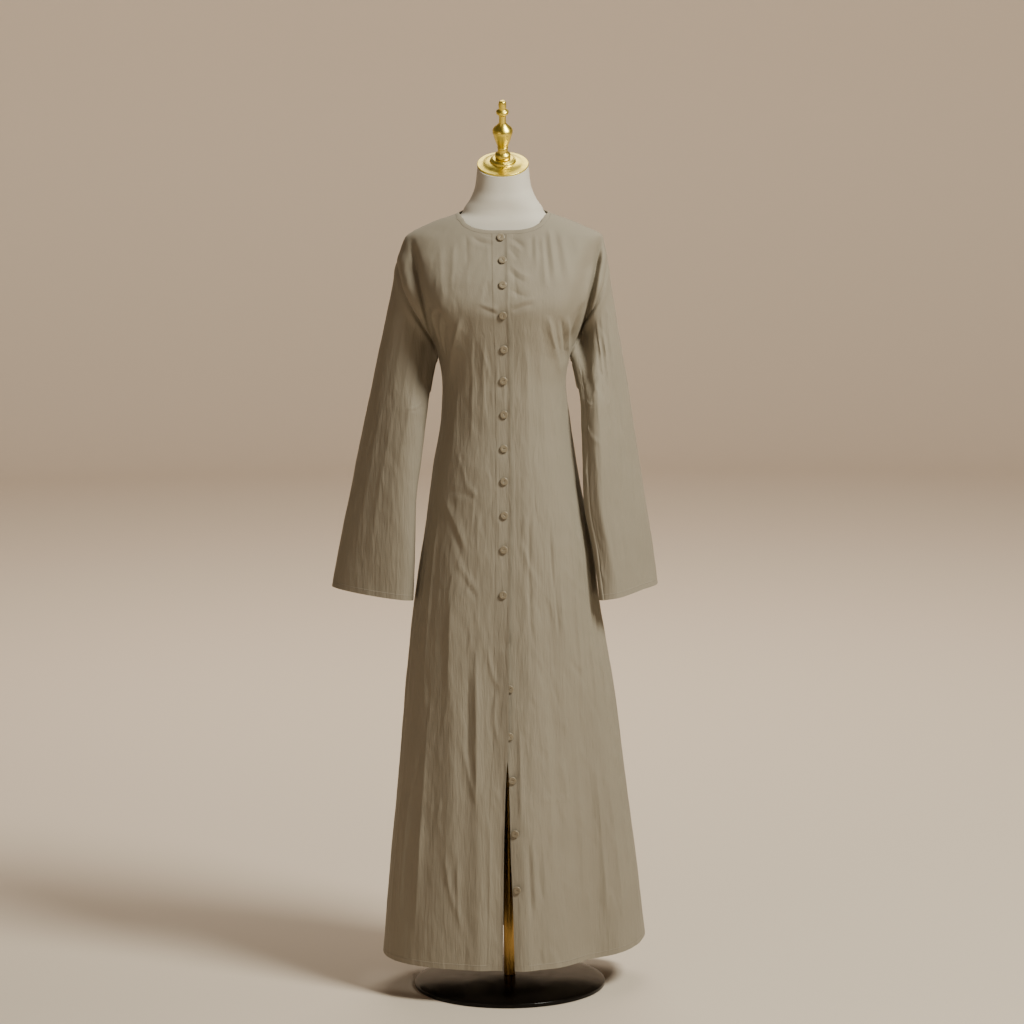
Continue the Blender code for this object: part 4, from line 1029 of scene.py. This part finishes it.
# creases: three points of a bent line as turn and share of the length, half width, height
sleeveCreases = {
    "left": (
        (100, 0.04, 96, 0.20, 100, 0.46, 0.0060, 0.0010),
        (70, 0.06, 74, 0.26, 84, 0.50, 0.0070, 0.0012),
        (122, 0.20, 116, 0.42, 108, 0.66, 0.0060, 0.0012),
        (84, 0.50, 82, 0.74, 84, 0.98, 0.0080, 0.0011),
        (56, 0.40, 60, 0.66, 58, 0.94, 0.0080, 0.0010),
        (150, 0.36, 128, 0.44, 104, 0.47, 0.0050, 0.0010),
        (148, 0.50, 128, 0.57, 106, 0.60, 0.0050, 0.0008),
        (270, 0.10, 280, 0.40, 276, 0.80, 0.0070, 0.0028),
        (240, 0.30, 246, 0.60, 250, 0.96, 0.0070, 0.0024),
        (310, 0.20, 304, 0.50, 300, 0.90, 0.0070, 0.0024),
    ),
    "right": (
        (104, 0.12, 110, 0.52, 118, 0.99, 0.0080, 0.0026),
        (96, 0.05, 100, 0.30, 106, 0.60, 0.0048, 0.0020),
        (84, 0.06, 90, 0.32, 100, 0.66, 0.0048, 0.0026),
        (70, 0.10, 78, 0.36, 88, 0.72, 0.0052, 0.0026),
        (58, 0.14, 62, 0.40, 76, 0.80, 0.0048, 0.0022),
        (92, 0.44, 98, 0.70, 100, 0.99, 0.0046, 0.0024),
        (76, 0.56, 82, 0.80, 84, 0.99, 0.0044, 0.0022),
        (46, 0.30, 50, 0.60, 58, 0.96, 0.0056, 0.0020),
        (120, 0.50, 122, 0.74, 118, 0.98, 0.0052, 0.0022),
        (108, 0.62, 112, 0.78, 110, 0.96, 0.0042, -0.0020),
        (66, 0.62, 70, 0.80, 70, 0.98, 0.0042, -0.0018),
        (150, 0.36, 134, 0.44, 112, 0.47, 0.0044, 0.0018),
        (150, 0.52, 130, 0.58, 108, 0.61, 0.0044, 0.0016),
        (270, 0.10, 262, 0.40, 266, 0.80, 0.0070, 0.0028),
        (300, 0.20, 306, 0.50, 300, 0.94, 0.0070, 0.0024),
        (232, 0.36, 236, 0.62, 240, 0.96, 0.0070, 0.0024),
    ),
}
# how many small creases are scattered, and the tallest's height
sleeveScattered = {"left": (50, 0.0006), "right": (140, 0.0010)}


def sleeveRing(name, at, turns):
    # flattened ring: middle + half width cos along the front view, half depth sin across it
    table = sleeveRings[name]
    ring = {key: float(readTable(table, "row", key, np.array(at))) for key in table if key != "row"}
    outer = np.array([ring["outerX"], 0.0, ring["outerZ"]])
    inner = np.array([ring["innerX"], 0.0, ring["innerZ"]])
    middle = 0.5 * (outer + inner) + np.array([0.0, ring["middleY"], 0.0])
    along, across = np.cos(np.radians(turns)), np.sin(np.radians(turns))
    reach = roundReach(along, across, sleeve["roundness"])
    points = middle + (along * reach)[:, None] * 0.5 * (outer - inner)
    points[:, 1] += ring["turn"] * along * reach - ring["halfDepth"] * across * reach
    return points


def seamRing(side, count):
    # the armhole's points on the body's outer face, the ways that leave them along the cloth, and
    # the cloth's own outward ways
    frontAngle, frontZ = (v[::-1] for v in armhole(side, True, count))
    halves = ((frontAngle, frontZ, "upper" if side < 0 else "under"), (*armhole(side, False, count), "back"))
    points = np.concatenate([robeSurface(*half)[:-1] for half in halves])
    normals = np.concatenate([robeNormal(*half)[:-1] for half in halves])
    along = np.roll(points, -1, axis=0) - np.roll(points, 1, axis=0)
    return points, side * unitVectors(np.cross(normals, along)), normals


def ringNormals(points, side):
    # outwards from a tube of rings
    around = np.roll(points, -1, axis=1) - np.roll(points, 1, axis=1)
    along = np.gradient(points, axis=0)
    return side * unitVectors(np.cross(around, along))


def sleeveCreaseHeight(name, turns, share):
    # the creases' lines laid out flat, in metres round and along the sleeve
    girth, length = sleeve["flat"]
    around, down = np.broadcast_arrays(turns[None] / 360.0 * girth, share[:, None] * length)
    size = np.array([girth / 360.0, length])
    lines = [(bentLine(*row[:6]) * size, row[6], row[7]) for row in sleeveCreases[name]]
    dice = np.random.default_rng(11)
    count, tallest = sleeveScattered[name]
    for _ in range(count):
        u, v = dice.uniform(0.02, 0.98) * girth, dice.uniform(0.10, 0.98) * length
        long, lean = dice.uniform(0.03, 0.11), math.radians(dice.normal(0.0, 12.0))
        end = u + long * math.sin(lean), v + long * math.cos(lean)
        middle = 0.5 * (u + end[0]) + dice.normal(0.0, 0.06) * long, 0.5 * (v + end[1])
        height = dice.choice([1.0, 1.0, -1.0]) * dice.uniform(0.4, 1.0) * tallest
        lines.append((bentLine(u, v, *middle, *end, 6), dice.uniform(0.0028, 0.0046), height))
    total, everywhere = np.zeros(around.shape), np.ones(around.shape)
    for line, halfWidth, height in lines:
        addRidge(total, around, down, everywhere, line, halfWidth, height)
    return total


def makeSleeve(side, pieceName, node):
    # a cubic blend from the armhole's seam into the first ring, then the rings down to the cuff
    name = "left" if side < 0 else "right"
    count = 10 * sleeve["columns"]
    seam, away, seamNormals = seamRing(side, count)
    turns = np.arange(2 * count) * 180.0 / count
    first = sleeveRing(name, 0.0, turns)
    down = unitVectors(sleeveRing(name, 1.0, turns) - first)
    leaving = unitVectors(sleeve["flow"] * away + down)
    reach = np.linalg.norm(first - seam, axis=1)[:, None]
    pull, hang = np.minimum(reach, sleeve["pull"]), np.minimum(reach, sleeve["hang"])
    rings, shares = [seam + 0.5 * robe["seamGap"] * away], [0.0]
    for share in np.arange(1, sleeve["capRows"] + 1) / sleeve["capRows"]:
        a, b, c = 2 * share**3 - 3 * share**2 + 1, share**3 - 2 * share**2 + share, share**3 - share**2
        rings.append(a * seam + b * pull * leaving + (1 - a) * first + c * hang * down)
        shares.append(0.5 * share)
    last = sleeveRings[name]["row"][-1]
    for at in np.arange(1, sleeve["lowRows"] + 1) * float(last) / sleeve["lowRows"]:
        rings.append(sleeveRing(name, at, turns))
        shares.append(0.5 + 0.5 * at / last)
    points, shares = np.stack(rings), np.array(shares)
    outward = ringNormals(points, side)
    height = sleeveCreaseHeight(name, turns, shares)
    fade = sleeve["foldFade"]
    for turn, start, end, halfWidth, depth in sleeveFolds[name]:
        apart = (turns[None] - turn + 180.0) % 360.0 - 180.0
        ends = smoothStep((shares - start) / fade) * smoothStep((end - shares) / fade)
        height += depth * ends[:, None] * np.exp(-((apart / halfWidth) ** 2))
    height += crumple(points)
    # the cap swells beside the seam, most where it hangs over the armhole in front
    front = np.exp(-(((turns - sleeve["puffTurn"]) / sleeve["puffTurnWidth"]) ** 2))[None]
    beside = np.exp(-(((shares - sleeve["puffAt"]) / sleeve["puffWidth"]) ** 2))[:, None]
    height += (sleeve["puff"] + sleeve["frontPuff"][name] * front) * beside
    points = points + (height * smoothStep(shares / sleeve["calmStart"])[:, None])[..., None] * outward
    outward = ringNormals(points, side)
    # at the seam the wall stands as the body's does where the sleeve leaves along it
    opening = smoothStep(np.sum(leaving * seamNormals, axis=1) / sleeve["alongSeam"])[:, None]
    outward[0] = unitVectors(opening * outward[0] + (1.0 - opening) * seamNormals)
    inner = points - robe["wall"] * outward
    area = clothArea(np.concatenate([points, points[:, :1]], axis=1))
    length = lengthAlong(points, 0)
    edges = hemEdges(length[-1:] - length, lengthAlong(points, 1))
    if side < 0:
        points, inner = points[::-1], inner[::-1]
        edges = {key: values[::-1] for key, values in edges.items()}
    piece = wallPiece(pieceName, points, inner, crepe, closed=True, edges=edges)
    dressPiece(piece, node, sleeve["flat"], area)


makeSleeve(-1, "rightSleeve", "sleeve_right")
makeSleeve(1, "leftSleeve", "sleeve_left")
print("sleeves made")


# turned pieces of the stand and the cap


def turnedPiece(name, profile, sides, material, centre=(0.0, 0.0, 0.0), lean=0.0, smoothSteps=0):
    # a profile of radius and height in millimetres, swept round its axis; both ends close on the axis
    line = np.array(profile) / 1000.0
    if smoothSteps:
        t = np.arange(len(line))
        fine = np.linspace(0, len(line) - 1, (len(line) - 1) * smoothSteps + 1)
        table = {"t": t, "r": line[:, 0], "h": line[:, 1]}
        line = np.stack([readTable(table, "t", "r", fine), readTable(table, "t", "h", fine)], axis=-1)
    turn = roundTurns(sides)
    radius, height = line[:, :1], np.repeat(line[:, 1:], sides, axis=1)
    points = np.stack([radius * np.cos(turn), radius * np.sin(turn), height], axis=-1).reshape(-1, 3)
    quads, index = gridFaces(len(line), sides, closed=True)
    lowEnd = np.full((sides, 1), len(points))
    low = np.concatenate([index[0, 1:, None], index[0, :-1, None], lowEnd], axis=1)
    high = np.concatenate([index[-1, :-1, None], index[-1, 1:, None], lowEnd + 1], axis=1)
    points = np.concatenate([points, [[0, 0, line[0, 1]], [0, 0, line[-1, 1]]]])
    points = points @ leanMatrix(lean).T + np.array(centre)
    return meshPiece(name, points, [*quads, *low, *high], material, sharpAngle=40)


# profiles are radius and height, in millimetres
stand = {
    "base": ((12, 18), (60, 17.1), (100, 16), (140, 13.6), (174, 10.5), (184, 8.9), (186.2, 8.2),
             (187.2, 7.3), (187.5, 6), (187.5, 1.8), (187, 0.7), (186.2, 0)),
    "pole": ((10.65, 799.7), (11.25, 799.1), (11.25, 18.9), (10.65, 18.3)),
}
cap = {
    "lean": math.radians(26), "foot": 1.603, "gap": 0.0003,    # the lean turns +Z towards -Y
    "plate": ((15, 15), (18, 14.9), (19.5, 14.6), (20.8, 13.8), (23.5, 12.5), (24.3, 11.8), (24.6, 9.5),
              (25.2, 8.5), (28, 8), (33, 6.8), (40, 4.5), (47, 3.3), (48.6, 3), (49, 2.2), (49, 0.8),
              (48.4, 0)),
    "finial": ((1, 135.7), (4, 135.2), (6.2, 133.5), (7.3, 130), (7.5, 125), (6.8, 120), (6.9, 118),
               (9.5, 116), (11.7, 114), (12, 112), (11.6, 109.5), (9.5, 107), (6.8, 105), (6.6, 100),
               (6.7, 90.5), (8.5, 87), (13, 82), (17.5, 77.5), (19.4, 73.8), (19.4, 71), (18, 65),
               (14.8, 54), (12, 46), (10, 40.5), (9.6, 39.2), (10.4, 38), (10.4, 36), (9.6, 34.5),
               (9.6, 30), (10.5, 27.5), (13.8, 25), (14.9, 23.2), (15.2, 20.5), (14.9, 17.8), (14, 15.3)),
}
out = np.array([0.0, -math.sin(cap["lean"]), math.cos(cap["lean"])])
foot = np.array([0.0, 0.0, cap["foot"]]) + cap["gap"] * out
leaning = (foot, cap["lean"], 4)    # with four steps between the profile's points
standFor(turnedPiece("baseDisc", stand["base"], 160, blackPaint), "stand_base")
standFor(turnedPiece("neckCapPlate", cap["plate"], 96, gold, *leaning), "neck_cap")
standFor(turnedPiece("turnedFinial", cap["finial"], 72, gold, *leaning), "finial")
standFor(turnedPiece("polishedPole", stand["pole"], 64, poleGold), "stand_pole")
print("stand and cap made")


# the form

form = {
    "z": (0.800, 0.815, 0.900, 1.000, 1.080, 1.150, 1.200, 1.240, 1.290, 1.335, 1.380, 1.420,
          1.445, 1.460, 1.472, 1.486, 1.499, 1.511, 1.524, 1.540, 1.565, 1.603),
    "width": (0.138, 0.146, 0.150, 0.132, 0.116, 0.108, 0.111, 0.117, 0.136, 0.148, 0.157, 0.163,
              0.165, 0.163, 0.156, 0.136, 0.108, 0.0805, 0.0735, 0.0625, 0.0530, 0.0485),
    "front": (0.095, 0.102, 0.108, 0.103, 0.095, 0.091, 0.099, 0.110, 0.120, 0.123, 0.112, 0.096,
              0.084, 0.076, 0.069, 0.061, 0.0555, 0.0515, 0.0500, 0.0500, 0.0475, 0.0455),
    "back": (0.110, 0.117, 0.121, 0.101, 0.084, 0.077, 0.083, 0.089, 0.094, 0.098, 0.098, 0.094,
             0.088, 0.084, 0.080, 0.075, 0.0695, 0.0640, 0.0580, 0.0525, 0.0480, 0.0455),
    "slope": (0.0, 0.0, 0.0, 0.0, 0.0, 0.0, 0.0, 0.0, 0.0, 0.0, 0.0, 0.0,
              0.0, 0.0, 0.0, 0.0, 0.0, 0.0, 0.05, 0.12, 0.26, 0.488),
    "sides": 144, "rows": 200,
    "clear": 0.004, "clearFrom": 1.47, "clearOver": 0.03,    # drawn in under the robe, to clear its creases
}


def makeForm():
    # rounded sections stacked upwards: x = width times r sin, y = depth times r cos, z = its height
    # plus slope times y
    heights = np.linspace(form["z"][0], form["z"][-1], form["rows"])
    turn = roundTurns(form["sides"])
    side, front = np.sin(turn), np.cos(turn)
    reach = roundReach(side, front, robe["roundness"])
    drawn = form["clear"] * (1.0 - smoothStep((heights - form["clearFrom"]) / form["clearOver"]))
    width, ahead, behind = (readTable(form, "z", key, heights) - drawn for key in ("width", "front", "back"))
    x = width[:, None] * reach * side
    y = -np.where(front > 0, ahead[:, None], behind[:, None]) * reach * front
    z = heights[:, None] + readTable(form, "z", "slope", heights)[:, None] * y
    points = np.stack([x, y, z], axis=-1).reshape(-1, 3)
    faces = cappedFaces(len(heights), form["sides"])
    standFor(meshPiece("formTorso", points, faces, jersey, sharpAngle=50), "form_torso")


makeForm()
print("form made")


# buttons

button = {
    "radius": 0.0076, "height": 0.0036, "gap": 0.0004, "foot": 0.78, "rings": 20, "sides": 40,
    "holeRadius": 0.00085, "holeApart": 0.0014, "holeDepth": 0.0012, "holesFrom": 0.6,
    "tilt": math.radians(14), "coveredAbove": 0.50,    # undone ones lower than this tilt
    "swing": 67,                                       # degrees from one button's holes to the next's
}
# radius share and height share from the rim's underside over the rim to the dished middle
buttonProfile = {"s": (0.0, 0.12, 0.25, 0.38, 0.50, 0.62, 0.75, 1.0),
                 "r": (0.74, 0.94, 1.0, 0.96, 0.84, 0.64, 0.36, 0.02),
                 "h": (0.0, 0.20, 0.50, 0.86, 1.0, 0.99, 0.95, 0.93)}


def buttonPoints(centre, facing, level):
    # polar grid: the profile swept round, with two thread holes sunk into the dished middle
    s = np.linspace(0.0, 1.0, button["rings"])
    r = button["radius"] * readTable(buttonProfile, "s", "r", s)
    h = button["height"] * readTable(buttonProfile, "s", "h", s)
    turn = roundTurns(button["sides"])
    x, y = r[:, None] * np.cos(turn), r[:, None] * np.sin(turn)
    z = np.repeat(h[:, None], button["sides"], axis=1)
    for way in (-1, 1):
        gap = np.hypot(x - way * button["holeApart"], y)
        hole = button["holeDepth"] * np.exp(-((gap / button["holeRadius"]) ** 4))
        z = z - np.where(s[:, None] > button["holesFrom"], hole, 0.0)
    return centre + x[..., None] * level + y[..., None] * np.cross(facing, level) + z[..., None] * facing


def makeButtons():
    # each stands on the panel under it, square to it or tilted, its holes turned its own way
    faces = cappedFaces(button["rings"], button["sides"])
    for number, (z, x, fastened) in enumerate(buttonPlaces, start=1):
        panel = "upper" if fastened else "under"
        angle, height = angleAtX(np.array(x), np.array(z)), np.array(z)
        normal = robeNormal(angle, height, panel)
        tilt = button["tilt"] if not fastened and z < button["coveredAbove"] else 0.0
        facing = leanMatrix(tilt) @ normal
        away = button["gap"] + button["foot"] * button["radius"] * math.sin(tilt)
        centre = robeSurface(angle, height, panel) + away * normal
        level = unitVectors(np.cross(np.array([0.0, 0.0, 1.0]), facing))
        swing = math.radians((number * button["swing"]) % 180)
        level = math.cos(swing) * level + math.sin(swing) * np.cross(facing, level)
        points = buttonPoints(centre, facing, level).reshape(-1, 3)
        piece = meshPiece(f"sewnButton{number:02d}", points, faces, resin)
        standFor(piece, f"button_{number:02d}")


makeButtons()
print("buttons made")


# floor and light

studio = {
    "floorRadius": 9.0, "curve": 2.0, "wallTop": 7.0, "drop": 0.0005, "sides": 96, "colour": "#cfc1b0",
    "world": "#d9c8b8", "worldStrength": 0.12,
}


def makeRoundStudio():
    # a round floor that curves up into a wall, the same from every side, in plain matt paint
    turn = np.linspace(0.0, math.pi / 2, 17)
    edge, curve = studio["floorRadius"], studio["curve"]
    radius = np.concatenate([[0.02, 2.0, 5.0], edge + curve * np.sin(turn), [edge + curve]])
    height = np.concatenate([[0.0, 0.0, 0.0], curve * (1.0 - np.cos(turn)), [studio["wallTop"]]])
    around = roundTurns(studio["sides"])
    points = np.stack([radius[:, None] * np.cos(around), radius[:, None] * np.sin(around),
                       np.repeat(height[:, None] - studio["drop"], studio["sides"], axis=1)], axis=-1)
    quads, index = gridFaces(len(radius), studio["sides"], closed=True)
    material, tree, shader, _ = newMaterial("plainPaleFloor")
    setNode(tree, shader, {"Base Color": hexToLinear(studio["colour"]), "Roughness": 0.7})
    return meshPiece("roundStudio", points.reshape(-1, 3), [*quads[:, ::-1], index[0, :-1]], material)


makeRoundStudio()
world = bpy.data.worlds.new("paleStudio")
bpy.context.scene.world = world
world.use_nodes = True
worldSettings = {"Color": hexToLinear(studio["world"]), "Strength": studio["worldStrength"]}
setNode(world.node_tree, world.node_tree.nodes["Background"], worldSettings)


def addLight(name, place, aim, size, power, colour):
    # a round soft light that looks from its place at its aim
    light = bpy.data.lights.new(name, "AREA")
    light.shape = "DISK"
    light.size = size
    light.energy = power
    light.color = hexToLinear(colour)[:3]
    lamp = bpy.data.objects.new(name, light)
    bpy.context.scene.collection.objects.link(lamp)
    away = unitVectors(np.array(place, float) - np.array(aim, float))
    side = unitVectors(np.cross(np.array([0.0, 0.0, 1.0]), away))
    over = np.cross(away, side)
    lamp.matrix_world = placeMatrix(side, over, away, place)


addLight("keyLight", (2.8, -2.3, 4.6), (0.0, 0.0, 1.05), 1.5, 450.0, "#fbf9ec")
addLight("fillLight", (-2.9, -4.2, 2.1), (0.0, 0.0, 1.1), 2.6, 23.0, "#f4e0cf")
addLight("wallLight", (0.0, 2.5, 5.6), (0.0, 11.0, 1.6), 3.0, 430.0, "#fff0de")
addLight("rearLight", (0.3, 3.2, 5.4), (0.0, 0.0, 1.2), 3.4, 120.0, "#fdf3e2")
